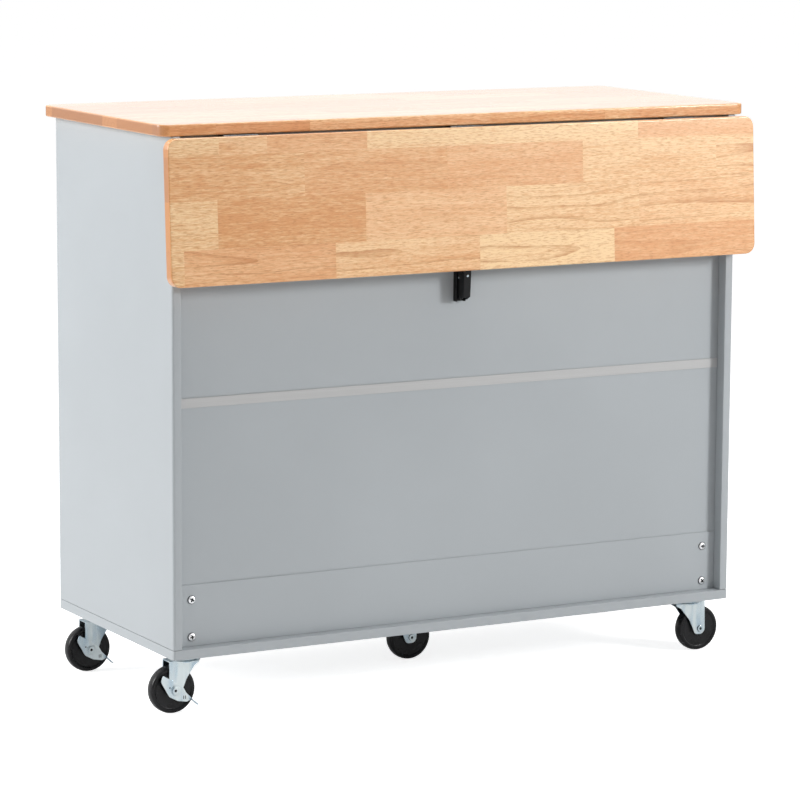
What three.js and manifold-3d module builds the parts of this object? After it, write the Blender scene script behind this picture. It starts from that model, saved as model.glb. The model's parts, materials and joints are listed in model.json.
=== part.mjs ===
// A drop leaf kitchen island: a painted cabinet on five swivel casters, with a solid wood worktop
// and a wood leaf that hangs at the back on three butt hinges, over a folding support bracket.
//
// Millimetres, +Z up. The doors and drawers face -Y, the leaf hangs on the +Y side, and the origin
// is on the floor under the middle of the island's outline, with the leaf down.

import * as THREE from 'three';
import { mergeVertices } from 'three/addons/utils/BufferGeometryUtils.js';
import Module from 'manifold-3d';

const wasm = await Module();
wasm.setup();

// ---------------------------------------------------------------- driving dimensions

// worktop
const TOP_LENGTH = 1040;
const TOP_DEPTH = 445;
const TOP_THICKNESS = 18;
const TOP_CORNER_RADIUS = 17;
const TOP_ARRIS = 2.5;
const WORKING_HEIGHT = 910;

// cabinet boards
const BOARD = 15;
const END_OVERHANG = 17.5;
const CABINET_LENGTH = TOP_LENGTH - 2 * END_OVERHANG;
const CABINET_CORNER_RADIUS = 4;
const FRONT_OVERHANG = 10;
const BACK_OVERHANG = 0;
const CASTER_HEIGHT = 95;
const STRETCHER_DEPTH = 60;

// back: two thin panels in grooves, a joining strip between them and a rail below
const BACK_RECESS = 21;
const BACK_PANEL = 5;
const GROOVE_DEPTH = 6;
const STRIP_HEIGHT = 15;
const STRIP_CENTRE = 391;
const STRIP_METAL = 1.2;
const RAIL_HEIGHT = 96;
const RAIL_PROUD = 2;
const RAIL_GROOVE = 8;
const CORNER_BLOCK_WIDTH = 40;
const CORNER_BLOCK_DEPTH = 25;
const CORNER_BLOCK_HEIGHT = 90;

// rail screws
const SCREW_HEAD_RADIUS = 6.5;
const SCREW_HEAD_HEIGHT = 3.2;
const SCREW_RIM = 1;
const SCREW_SHANK_RADIUS = 2.2;
const SCREW_LENGTH = 27;
const SCREW_TIP = 3;
const SCREW_CROSS_REACH = 2.7;
const SCREW_CROSS_HALF_WIDTH = 0.7;
const SCREW_CROSS_DEPTH = 1.6;
const SCREW_FROM_SIDE = 24;
const SCREW_HEIGHT_LOWER = 15;
const SCREW_HEIGHT_UPPER = 73;

// inside and front
const DRAWER_OPENING = 150;
const SHELF_HEIGHT = 290;
const SHELF_SETBACK = 22;
const FRONT_GAP = 2;
const FRAME_WIDTH = 58;
const PANEL_SINK = 4;
const PIVOT_PIN_RADIUS = 3;
const PIVOT_PIN_IN_BOARD = 8;
const PIVOT_PIN_IN_DOOR = 12;
const PIVOT_WASHER_RADIUS = 6.5;
const DRAWER_BOX_DEPTH = 350;
const DRAWER_BOX_HEIGHT = 105;
const DRAWER_BOX_SIDE_GAP = 14;
const DRAWER_WALL = 12;
const DRAWER_BOTTOM = 6;
const KNOB_RADIUS = 14;
const KNOB_LENGTH = 24;
const KNOB_HEAD = 10;
const KNOB_NECK_RADIUS = 6;
const KNOB_WAIST_RADIUS = 5;
const KNOB_FACE_RADIUS = 11;
const KNOB_FROM_DOOR_EDGE = 29;
const KNOB_BELOW_DOOR_TOP = 90;

// drop leaf and its hinges
const LEAF_WIDTH = 222;
const LEAF_THICKNESS = 18;
const LEAF_TILT = 3.2;
const HINGE_OUT = 3;
const HINGE_DROP = 3;
const LEAF_EDGE_GAP = 2;
const HINGE_FROM_CABINET_END = 112.5;
const HINGE_LENGTH = 58;
const KNUCKLES = 5;
const HINGE_WING = 18;
const HINGE_PLATE = 1.6;
const KNUCKLE_RADIUS = 2.7;
const HINGE_PIN_RADIUS = 1.5;
const KNUCKLE_GAP = 0.4;

// folding bracket
const BRACKET_METAL = 1.5;
const BRACKET_CORNER_RADIUS = 3;
const ARM_WIDTH = 9;
const ARM_LENGTH = 197;
const ARM_PIVOT_DROP = 15;
const ARM_REST_LENGTH = 24;
const ARM_REST_RAMP = 6;
const ARM_EYE_RADIUS = 7.5;
const ARM_TAPER_START = 118;
const ARM_TIP_DROP = 2;
const ARM_TIP_RADIUS = 1.5;
const STRUT_PIVOT_ALONG_ARM = 97;
const STRUT_LENGTH = 155;
const STRUT_DEPTH = 21;
const STRUT_HEAD_RADIUS = 7;
const STRUT_FOOT_RADIUS = 5.5;
const STRUT_FOOT_BEVEL = 6;
const STRUT_FOOT_DEPTH = 11.5;
const STRUT_WEB_RAMP = 12;
const STRUT_SHOULDER = 9;
const FOOT_STANDOFF = 8;
const WALL_LEG_DEPTH = 12;
const WALL_LEG_TAIL = 10;
const WALL_LEG_EAR = 22.5;
const ARM_PIN_RADIUS = 3;
const ARM_PIN_HEAD_RADIUS = 5;
const STRUT_RIVET_RADIUS = 2.5;
const RIVET_HEAD_RADIUS = 3.4;
const RIVET_HEAD = 1.3;

// casters
const CASTER_FROM_END = 44.5;
const CASTER_FROM_EDGE = 58;
const WHEEL_RADIUS = 37.5;
const WHEEL_WIDTH = 18;
const WHEEL_CROWN = 0.8;
const WHEEL_SHOULDER = 4;
const WHEEL_EDGE = 3;
const WHEEL_RIM = 5;
const WHEEL_WEB_SINK = 2;
const WHEEL_HUB_RADIUS = 12;
const WHEEL_HUB_WIDTH = 20.6;
const CASTER_TRAIL = 22;
const FORK_GAP = 22;
const FORK_METAL = 2;
const FORK_TOP_BELOW_BOARD = 11.5;
const FORK_FRONT = 44;
const FORK_BEND_START = 14;
const FORK_BEND = 8;
const FORK_BACK = 8.5;
const FORK_LIP = 6;
const FORK_EYE_RADIUS = 9.5;
const FORK_DISC_RADIUS = 25;
const RACE_RADIUS = 19;
const RACE_BEVEL = 4;
const CASTER_PLATE = 58;
const CASTER_PLATE_METAL = 2.5;
const CASTER_PLATE_CORNER = 6;
const KINGPIN_RADIUS = 5;
const KINGPIN_HEAD_RADIUS = 8;
const KINGPIN_HEAD = 2.8;
const AXLE_RADIUS = 4;
const AXLE_HEAD_RADIUS = 5.5;
const AXLE_HEAD = 1.8;
const LEVER_METAL = 1.8;
const LEVER_SEAT_RADIUS = 4.6;
const LEVER_SEAT_HEAD_RADIUS = 6;
const PEDAL_LENGTH = 13;
const PEDAL_WIDTH = 8;
const PEDAL_SLANT = 43;

// The brake lever's outline, as corners [along, up, radius] from the axle, and where its pedal starts.
const LEVER_CORNERS = [
  [20.5, 25.5, 1.5], [24.5, 16, 5], [10, -9, 8], [-4, -16.5, 14], [-20, -19.5, 6],
  [-28.5, -15, 2], [-18.5, -5, 6], [-13.5, 4, 6], [0, 13, 14],
];
const PEDAL_START = [-26.5, -15.5];

// The swept front of a caster's fork, as corners [ahead of the axle, below the fork's top, radius].
const FORK_SWEEP = [[35.5, 10.5, 6], [20.5, 30, 30]];

// clearances
const FIT = 0.3;
const LEAF_REST_GAP = 0.45;
const STRUT_SIDE_GAP = 0.3;
const TAIL_CLEARANCE = 3;
const PIN_END_GAP = 1;

// How far a cut runs past the face it opens, and how deep joined shapes run into each other.
const OVERRUN = 1;
const SEAM = 0.1;

// ---------------------------------------------------------------- places worked out from them

const cabinetFront = -TOP_DEPTH / 2 + FRONT_OVERHANG;
const cabinetBack = TOP_DEPTH / 2 - BACK_OVERHANG;
const topUnderside = WORKING_HEIGHT - TOP_THICKNESS;
const floorBoardTop = CASTER_HEIGHT + BOARD;
const sideInner = CABINET_LENGTH / 2 - BOARD;
const panelFace = cabinetBack - BACK_RECESS;
const panelBack = panelFace - BACK_PANEL;
const insideBack = panelBack - STRIP_METAL - 2 * FIT;
const railFace = panelFace + RAIL_PROUD;
const railBack = railFace - BOARD;
const railTop = floorBoardTop + RAIL_HEIGHT;
const stretcherUnderside = topUnderside - FIT - BOARD;
const deckTop = stretcherUnderside - DRAWER_OPENING;
const deckUnderside = deckTop - BOARD;
const bayInner = BOARD / 2;
const bayWidth = sideInner - bayInner;

const hingeX = CABINET_LENGTH / 2 - HINGE_FROM_CABINET_END;
const hingeY = TOP_DEPTH / 2 + HINGE_OUT;
const hingeZ = topUnderside - HINGE_DROP;
const hangAngle = THREE.MathUtils.degToRad(90 - LEAF_TILT);

// ---------------------------------------------------------------- finishes

const finish = (color, roughness, metalness = 0) =>
  () => new THREE.MeshStandardMaterial({ color, roughness, metalness });

const paint = finish(0xb4bcc2, 0.5);
const timber = finish(0xdcae7c, 0.45);
const drawerWood = finish(0xd9c3a0, 0.6);
const zinc = finish(0xc9d2d8, 0.3, 1);
const whiteSteel = finish(0xe6e9ea, 0.3, 1);
const blackSteel = finish(0x1c1d1f, 0.45, 0.6);
const blackRubber = finish(0x18181a, 0.35);
const greyPlastic = finish(0xb9bfc2, 0.5);

// ---------------------------------------------------------------- making shapes

// A closed outline through corners [x, y, radius]: each radius becomes an arc of a few chords.
function outline(corners, chords = 4) {
  const points = [];
  corners.forEach(([x, y, radius = 0], i) => {
    const corner = new THREE.Vector2(x, y);
    if (radius === 0) {
      points.push(corner);
      return;
    }
    const before = corners[(i + corners.length - 1) % corners.length];
    const after = corners[(i + 1) % corners.length];
    const back = new THREE.Vector2(before[0], before[1]).sub(corner).normalize();
    const ahead = new THREE.Vector2(after[0], after[1]).sub(corner).normalize();
    const half = back.angleTo(ahead) / 2;
    const tangent = radius / Math.tan(half);
    const middle = back.clone().add(ahead).normalize();
    const centre = corner.clone().addScaledVector(middle, radius / Math.sin(half));
    const start = corner.clone().addScaledVector(back, tangent).sub(centre).angle();
    const end = corner.clone().addScaledVector(ahead, tangent).sub(centre).angle();
    const sweep = Math.atan2(Math.sin(end - start), Math.cos(end - start));
    for (let k = 0; k <= chords; k++) {
      const angle = start + (sweep * k) / chords;
      points.push(new THREE.Vector2(Math.cos(angle), Math.sin(angle)).multiplyScalar(radius).add(centre));
    }
  });
  return new THREE.Shape(points);
}

const rectangle = (x0, x1, y0, y1, radius = 0, chords = 4) =>
  outline([[x0, y0, radius], [x1, y0, radius], [x1, y1, radius], [x0, y1, radius]], chords);

// Prisms of an outline: up from z = 0, or centred on a plane and lying along X or Y.
const upright = (shape, height) => new THREE.ExtrudeGeometry(shape, { depth: height, bevelEnabled: false });
const intoYZX = new THREE.Matrix4().makeBasis(
  new THREE.Vector3(0, 1, 0), new THREE.Vector3(0, 0, 1), new THREE.Vector3(1, 0, 0));
const alongX = (shape, length) => upright(shape, length).translate(0, 0, -length / 2).applyMatrix4(intoYZX);
const alongY = (shape, length) => upright(shape, length).translate(0, 0, -length / 2).rotateX(Math.PI / 2);

const rod = (radius, length, sides = 12) => new THREE.CylinderGeometry(radius, radius, length, sides);
const rodX = (radius, length, sides) => rod(radius, length, sides).rotateZ(Math.PI / 2);
const rodZ = (radius, length, sides) => rod(radius, length, sides).rotateX(Math.PI / 2);

const box = (x0, x1, y0, y1, z0, z1) => new THREE.BoxGeometry(x1 - x0, y1 - y0, z1 - z0)
  .translate((x0 + x1) / 2, (y0 + y1) / 2, (z0 + z1) / 2);

// A turned solid: the profile's [radius, height] points start and end on the axis, or close.
const turned = (profile, sides = 16) =>
  new THREE.LatheGeometry(profile.map(([r, h]) => new THREE.Vector2(r, h)), sides).rotateX(Math.PI / 2);

function solidOf(geometry) {
  const bare = new THREE.BufferGeometry();
  bare.setAttribute('position', geometry.getAttribute('position'));
  bare.setIndex(geometry.index);
  const merged = mergeVertices(bare, 1e-4);
  const corners = merged.index.array;
  const whole = [];
  for (let i = 0; i < corners.length; i += 3) {
    const [a, b, c] = [corners[i], corners[i + 1], corners[i + 2]];
    if (a !== b && b !== c && c !== a) whole.push(a, b, c);
  }
  return new wasm.Manifold(new wasm.Mesh({
    numProp: 3,
    vertProperties: new Float32Array(merged.getAttribute('position').array),
    triVerts: new Uint32Array(whole),
  }));
}

function geometryOf(solid) {
  const { vertProperties, triVerts } = solid.getMesh();
  const geometry = new THREE.BufferGeometry();
  geometry.setAttribute('position', new THREE.BufferAttribute(vertProperties, 3));
  geometry.setIndex(new THREE.BufferAttribute(triVerts, 1));
  return geometry;
}

// The pieces joined into one, less what is cut away.
function shaped(pieces, cuts = []) {
  let solid = solidOf(pieces[0]);
  for (const piece of pieces.slice(1)) solid = solid.add(solidOf(piece));
  for (const cut of cuts) solid = solid.subtract(solidOf(cut));
  return geometryOf(solid);
}

const island = new THREE.Group();

function part(name, geometry, material, place = [0, 0, 0], parent = island) {
  const mesh = new THREE.Mesh(geometry, material());
  mesh.name = name;
  mesh.position.set(...place);
  parent.add(mesh);
  return mesh;
}

function group(place, parent = island) {
  const made = new THREE.Group();
  made.position.set(...place);
  parent.add(made);
  return made;
}

// ---------------------------------------------------------------- worktop and leaf

// A wood plate with round corners and eased edges: x and y ranges, underside at z = 0.
function plate(x0, x1, y0, y1, thickness) {
  const shape = rectangle(x0, x1, y0, y1, TOP_CORNER_RADIUS, 8);
  return new THREE.ExtrudeGeometry(shape, {
    depth: thickness - 2 * TOP_ARRIS,
    bevelThickness: TOP_ARRIS,
    bevelSize: TOP_ARRIS,
    bevelOffset: -TOP_ARRIS,
    bevelSegments: 2,
  }).translate(0, 0, TOP_ARRIS);
}

part('countertop', plate(-TOP_LENGTH / 2, TOP_LENGTH / 2, -TOP_DEPTH / 2, TOP_DEPTH / 2, TOP_THICKNESS),
  timber, [0, 0, topUnderside]);

// The leaf and its hinge halves are drawn raised, level with the worktop, about the hinge line.
const leaf = group([0, hingeY, hingeZ]);
leaf.rotation.x = -hangAngle;
const leafEdge = LEAF_EDGE_GAP - HINGE_OUT;
part('drop_leaf', plate(-TOP_LENGTH / 2, TOP_LENGTH / 2, leafEdge, leafEdge + LEAF_WIDTH, LEAF_THICKNESS),
  timber, [0, 0, HINGE_DROP], leaf);

// ---------------------------------------------------------------- leaf hinges

const knucklePitch = HINGE_LENGTH / KNUCKLES;
const wingTop = HINGE_DROP - FIT;

// One half of a hinge, drawn about its pin: side -1 is the half under the worktop. A knuckle's root
// runs into its wing plate.
function hingeHalf(side, knuckles) {
  const notch = KNUCKLE_RADIUS + KNUCKLE_GAP;
  const near = Math.min(side * notch, side * HINGE_WING);
  const far = Math.max(side * notch, side * HINGE_WING);
  const half = HINGE_LENGTH / 2;
  const pieces = [box(-half, half, near, far, wingTop - HINGE_PLATE, wingTop)];
  for (const k of knuckles) {
    const middle = -half + (k + 0.5) * knucklePitch;
    const reach = (knucklePitch - KNUCKLE_GAP) / 2;
    const root = side * (notch + OVERRUN);
    const tongue = [Math.min(0, root), Math.max(0, root)];
    pieces.push(rodX(KNUCKLE_RADIUS, 2 * reach).translate(middle, 0, 0));
    pieces.push(box(middle - reach, middle + reach, ...tongue, wingTop - HINGE_PLATE, wingTop));
  }
  return pieces;
}

for (const [where, x] of [['left', hingeX], ['middle', 0], ['right', -hingeX]]) {
  const pin = rodX(HINGE_PIN_RADIUS, HINGE_LENGTH - KNUCKLE_GAP);
  const bore = rodX(HINGE_PIN_RADIUS + FIT, HINGE_LENGTH + 2 * OVERRUN);
  part(`leaf_hinge_fixed_${where}`, shaped([...hingeHalf(-1, [0, 2, 4]), pin]), zinc, [x, hingeY, hingeZ]);
  part(`leaf_hinge_moving_${where}`, shaped(hingeHalf(1, [1, 3]), [bore]), zinc, [x, 0, 0], leaf);
}

// ---------------------------------------------------------------- cabinet boards

// The floor board and the two sides that stand on it share the cabinet's round corners.
const round = CABINET_CORNER_RADIUS;
const pivotX = sideInner - FRONT_GAP - BOARD / 2;
const pivotY = cabinetFront + FIT + BOARD / 2;
const pivotHole = (side, z) =>
  rodZ(PIVOT_PIN_RADIUS + FIT, 2 * PIVOT_PIN_IN_BOARD).translate(side * pivotX, pivotY, z);

part('bottom_board', shaped(
  [upright(rectangle(-CABINET_LENGTH / 2, CABINET_LENGTH / 2, cabinetFront, cabinetBack, round, 6), BOARD)
    .translate(0, 0, CASTER_HEIGHT)],
  [pivotHole(1, floorBoardTop), pivotHole(-1, floorBoardTop)]), paint);

for (const [where, side] of [['left', 1], ['right', -1]]) {
  const outer = (side * CABINET_LENGTH) / 2;
  const inner = side * sideInner;
  const grooved = side * (sideInner + GROOVE_DEPTH);
  const section = outline([
    [inner, cabinetFront], [outer, cabinetFront, round],
    [outer, cabinetBack, round], [inner, cabinetBack],
    [inner, panelFace + FIT], [grooved, panelFace + FIT],
    [grooved, panelBack - FIT], [inner, panelBack - FIT],
  ], 6);
  part(`side_${where}`, upright(section, topUnderside - floorBoardTop - 2 * FIT), paint,
    [0, 0, floorBoardTop + FIT]);
}

const betweenSides = [-sideInner + FIT, sideInner - FIT];
part('stretcher_front', box(...betweenSides, cabinetFront, cabinetFront + STRETCHER_DEPTH,
  stretcherUnderside, topUnderside - FIT), paint);
part('stretcher_back', box(...betweenSides, insideBack - STRETCHER_DEPTH, insideBack,
  stretcherUnderside, topUnderside - FIT), paint);
part('partition', alongX(outline([
  [cabinetFront, floorBoardTop + FIT], [railBack - FIT, floorBoardTop + FIT],
  [railBack - FIT, railTop + FIT], [insideBack, railTop + FIT],
  [insideBack, stretcherUnderside - FIT], [cabinetFront, stretcherUnderside - FIT],
]), BOARD), paint);

for (const [where, side] of [['left', 1], ['right', -1]]) {
  const [x0, x1] = [side * (bayInner + FIT), side * (sideInner - FIT)].sort((a, b) => a - b);
  part(`drawer_deck_${where}`, shaped(
    [box(x0, x1, cabinetFront, insideBack, deckUnderside, deckTop)],
    [pivotHole(side, deckUnderside)]), paint);
  part(`shelf_${where}`, box(x0, x1, cabinetFront + SHELF_SETBACK, insideBack,
    floorBoardTop + SHELF_HEIGHT, floorBoardTop + SHELF_HEIGHT + BOARD), paint);
}

// ---------------------------------------------------------------- back panels, strip and rail

const stripZ = floorBoardTop - BOARD + STRIP_CENTRE;
const panelReach = sideInner + GROOVE_DEPTH - FIT;
const stripWeb = STRIP_METAL / 2;

part('back_panel_upper', box(-panelReach, panelReach, panelBack, panelFace,
  stripZ + stripWeb + FIT, topUnderside - FIT), paint);
part('back_panel_lower', box(-panelReach, panelReach, panelBack, panelFace,
  railTop - RAIL_GROOVE + FIT, stripZ - stripWeb - FIT), paint);

const stripOut = panelFace + FIT;
const stripIn = panelBack - FIT;
const stripHalf = STRIP_HEIGHT / 2;
part('joining_strip', alongX(outline([
  [stripOut + STRIP_METAL, -stripHalf], [stripOut + STRIP_METAL, stripHalf], [stripOut, stripHalf],
  [stripOut, stripWeb], [stripIn, stripWeb], [stripIn, stripHalf], [stripIn - STRIP_METAL, stripHalf],
  [stripIn - STRIP_METAL, -stripHalf], [stripIn, -stripHalf], [stripIn, -stripWeb], [stripOut, -stripWeb],
  [stripOut, -stripHalf],
]), 2 * (sideInner - FIT)), greyPlastic, [0, 0, stripZ]);

const screwPlaces = [];
for (const [where, side] of [['left', 1], ['right', -1]]) {
  for (const [level, height] of [['lower', SCREW_HEIGHT_LOWER], ['upper', SCREW_HEIGHT_UPPER]]) {
    screwPlaces.push({ name: `rail_screw_${where}_${level}`, side, z: floorBoardTop + height,
      x: side * (sideInner - SCREW_FROM_SIDE) });
  }
}
const screwHole = ({ x, z }) =>
  rod(SCREW_SHANK_RADIUS + FIT, 2 * (SCREW_LENGTH + OVERRUN)).translate(x, railFace, z);

part('back_rail', shaped([alongX(outline([
  [railFace, floorBoardTop + FIT], [railFace, railTop], [panelFace + FIT, railTop],
  [panelFace + FIT, railTop - RAIL_GROOVE], [panelBack - FIT, railTop - RAIL_GROOVE],
  [panelBack - FIT, railTop], [railBack, railTop], [railBack, floorBoardTop + FIT],
]), 2 * (sideInner - FIT))], screwPlaces.map(screwHole)), paint);

for (const [where, side] of [['left', 1], ['right', -1]]) {
  const edge = side * (sideInner - FIT);
  const [x0, x1] = [edge, edge - side * CORNER_BLOCK_WIDTH].sort((a, b) => a - b);
  part(`corner_block_${where}`, shaped([
    box(x0, x1, railBack - FIT - CORNER_BLOCK_DEPTH, railBack - FIT,
      floorBoardTop + FIT, floorBoardTop + FIT + CORNER_BLOCK_HEIGHT)],
  screwPlaces.filter((place) => place.side === side).map(screwHole)), drawerWood);
}

// A pan-head screw that looks out of the rail, with a domed head and a cross cut in it.
const domeSteps = 3;
const dome = Array.from({ length: domeSteps }, (_, k) => {
  const angle = (k * Math.PI) / 2 / domeSteps;
  return [SCREW_HEAD_RADIUS * Math.cos(angle), SCREW_RIM + (SCREW_HEAD_HEIGHT - SCREW_RIM) * Math.sin(angle)];
});
const crossArms = [
  [SCREW_CROSS_REACH, SCREW_CROSS_HALF_WIDTH], [SCREW_CROSS_HALF_WIDTH, SCREW_CROSS_REACH],
];
for (const { name, x, z } of screwPlaces) {
  const body = turned([
    [0, -SCREW_LENGTH], [SCREW_SHANK_RADIUS, SCREW_TIP - SCREW_LENGTH], [SCREW_SHANK_RADIUS, 0],
    [SCREW_HEAD_RADIUS, 0], ...dome, [0, SCREW_HEAD_HEIGHT],
  ]);
  const cross = crossArms.map(([wide, high]) => box(-wide, wide, -high, high,
    SCREW_HEAD_HEIGHT - SCREW_CROSS_DEPTH, SCREW_HEAD_HEIGHT + OVERRUN));
  part(name, shaped([body], cross).rotateX(-Math.PI / 2), whiteSteel, [x, railFace + FIT, z]);
}

// ---------------------------------------------------------------- folding bracket

// In the side view, y runs out from the wall and z up. The arm turns on a pin through the wall leg's
// ears. Raised, it passes under the middle hinge and its rest meets the leaf; folded, it meets it too.
const armTop = ARM_PIVOT_DROP - HINGE_DROP - KNUCKLE_RADIUS - FIT;
const restTop = ARM_PIVOT_DROP - FIT;
const armPivotY = hingeY - (restTop + LEAF_REST_GAP - HINGE_DROP
  - Math.cos(hangAngle) * (ARM_PIVOT_DROP - HINGE_DROP)) / Math.sin(hangAngle);
const armPivotZ = topUnderside - ARM_PIVOT_DROP;
const strutPivotY = armPivotY + STRUT_PIVOT_ALONG_ARM * Math.cos(hangAngle);
const strutPivotZ = armPivotZ - STRUT_PIVOT_ALONG_ARM * Math.sin(hangAngle);
const footY = panelFace + FOOT_STANDOFF;
const footDrop = Math.sqrt(STRUT_LENGTH ** 2 - (strutPivotY - footY) ** 2);
const footZ = strutPivotZ - footDrop;

const strutInner = ARM_WIDTH + 2 * STRUT_SIDE_GAP;
const strutWidth = strutInner + 2 * BRACKET_METAL;
const legInner = strutWidth + 2 * STRUT_SIDE_GAP;
const legWidth = legInner + 2 * BRACKET_METAL;

// wall leg: a channel, open outwards, with two ears for the arm's pin
const legBack = panelFace + FIT - armPivotY;
const legEdge = panelFace + WALL_LEG_DEPTH - armPivotY;
const legBottom = footZ - WALL_LEG_TAIL - armPivotZ;
const corner = BRACKET_CORNER_RADIUS;
const eyeRound = ARM_EYE_RADIUS - 2 * SEAM;
const legSide = outline([
  [legBack, legBottom], [legEdge, legBottom, corner], [legEdge, -WALL_LEG_EAR, corner],
  [ARM_EYE_RADIUS, -ARM_EYE_RADIUS, corner], [ARM_EYE_RADIUS, ARM_EYE_RADIUS, eyeRound],
  [legBack, ARM_EYE_RADIUS],
], 3);
const channelMouth = legBack + BRACKET_METAL;
const legHollow = box(-legInner / 2, legInner / 2, channelMouth, ARM_EYE_RADIUS + OVERRUN,
  legBottom - OVERRUN, ARM_EYE_RADIUS + OVERRUN);
const pinHeads = [-1, 1].map((side) =>
  rodX(ARM_PIN_HEAD_RADIUS, BRACKET_METAL).translate((side * (legWidth + BRACKET_METAL)) / 2, 0, 0));
part('bracket_wall_leg', geometryOf(
  solidOf(alongX(legSide, legWidth)).subtract(solidOf(legHollow))
    .add(solidOf(rodX(ARM_PIN_RADIUS, legWidth)))
    .add(solidOf(pinHeads[0])).add(solidOf(pinHeads[1]))), blackSteel, [0, armPivotY, armPivotZ]);

// arm: a channel, open away from the leaf, with a raised rest near its tip and the strut's rivet
const arm = group([0, armPivotY, armPivotZ]);
arm.rotation.x = -hangAngle;
const restStart = ARM_LENGTH - ARM_REST_LENGTH;
const tipRound = ARM_TIP_RADIUS;
const armSide = outline([
  [-ARM_EYE_RADIUS, -ARM_EYE_RADIUS, eyeRound], [ARM_TAPER_START, -ARM_EYE_RADIUS],
  [ARM_LENGTH, -ARM_TIP_DROP, tipRound], [ARM_LENGTH, restTop, tipRound], [restStart, restTop, tipRound],
  [restStart - ARM_REST_RAMP, armTop], [-ARM_EYE_RADIUS, armTop, eyeRound],
], 3);
const armWeb = armTop - BRACKET_METAL;
const armHollow = box(-ARM_WIDTH / 2 + BRACKET_METAL, ARM_WIDTH / 2 - BRACKET_METAL,
  -ARM_EYE_RADIUS - OVERRUN, ARM_LENGTH - BRACKET_METAL, -ARM_EYE_RADIUS - OVERRUN, armWeb);
const rivetReach = strutWidth / 2 + FIT;
const rivetHeads = [-1, 1].map((side) => rodX(RIVET_HEAD_RADIUS, RIVET_HEAD)
  .translate(side * (rivetReach + RIVET_HEAD / 2), STRUT_PIVOT_ALONG_ARM, 0));
part('bracket_arm', geometryOf(
  solidOf(alongX(armSide, ARM_WIDTH)).subtract(solidOf(armHollow))
    .subtract(solidOf(rodX(ARM_PIN_RADIUS + FIT, ARM_WIDTH + 2 * OVERRUN)))
    .add(solidOf(rodX(STRUT_RIVET_RADIUS, 2 * (rivetReach + SEAM)).translate(0, STRUT_PIVOT_ALONG_ARM, 0)))
    .add(solidOf(rivetHeads[0])).add(solidOf(rivetHeads[1]))), blackSteel, [0, 0, 0], arm);

// strut: two cheeks that straddle the arm, joined below the arm's tip by a web that faces outwards
const tailReach = Math.hypot(ARM_LENGTH - STRUT_PIVOT_ALONG_ARM, restTop);
const webStart = tailReach + TAIL_CLEARANCE;
const strutEnd = STRUT_LENGTH + STRUT_FOOT_RADIUS;
const headRound = STRUT_HEAD_RADIUS - 2 * SEAM;
const footRound = STRUT_FOOT_RADIUS - 2 * SEAM;
const strutSide = outline([
  [-STRUT_HEAD_RADIUS, -STRUT_HEAD_RADIUS, headRound], [strutEnd, -STRUT_FOOT_RADIUS, footRound],
  [strutEnd, STRUT_FOOT_DEPTH, corner], [strutEnd - STRUT_FOOT_BEVEL, STRUT_DEPTH, corner],
  [webStart, STRUT_DEPTH, corner], [webStart - STRUT_WEB_RAMP, STRUT_SHOULDER],
  [-STRUT_HEAD_RADIUS, STRUT_HEAD_RADIUS, headRound],
], 3);
const strutHollow = box(-strutInner / 2, strutInner / 2, -STRUT_HEAD_RADIUS - OVERRUN, strutEnd + OVERRUN,
  -STRUT_HEAD_RADIUS - OVERRUN, STRUT_DEPTH - BRACKET_METAL);
const strut = part('bracket_strut', geometryOf(
  solidOf(alongX(strutSide, strutWidth)).subtract(solidOf(strutHollow))
    .subtract(solidOf(rodX(STRUT_RIVET_RADIUS + FIT, strutWidth + 2 * OVERRUN)))),
blackSteel, [0, strutPivotY, strutPivotZ]);
strut.rotation.x = -Math.atan2(footDrop, footY - strutPivotY);

// ---------------------------------------------------------------- doors, drawers and knobs

const doorBottom = floorBoardTop + FRONT_GAP;
const doorHeight = deckUnderside - FRONT_GAP - doorBottom;
const knobShape = () => turned([
  [0, 0], [KNOB_NECK_RADIUS, 0], [KNOB_WAIST_RADIUS, (KNOB_LENGTH - KNOB_HEAD) / 2],
  [KNOB_RADIUS, KNOB_LENGTH - KNOB_HEAD], [KNOB_RADIUS, KNOB_LENGTH - (KNOB_RADIUS - KNOB_FACE_RADIUS)],
  [KNOB_FACE_RADIUS, KNOB_LENGTH], [0, KNOB_LENGTH],
]).rotateX(Math.PI / 2);
const frontFace = pivotY - BOARD / 2;

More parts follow.
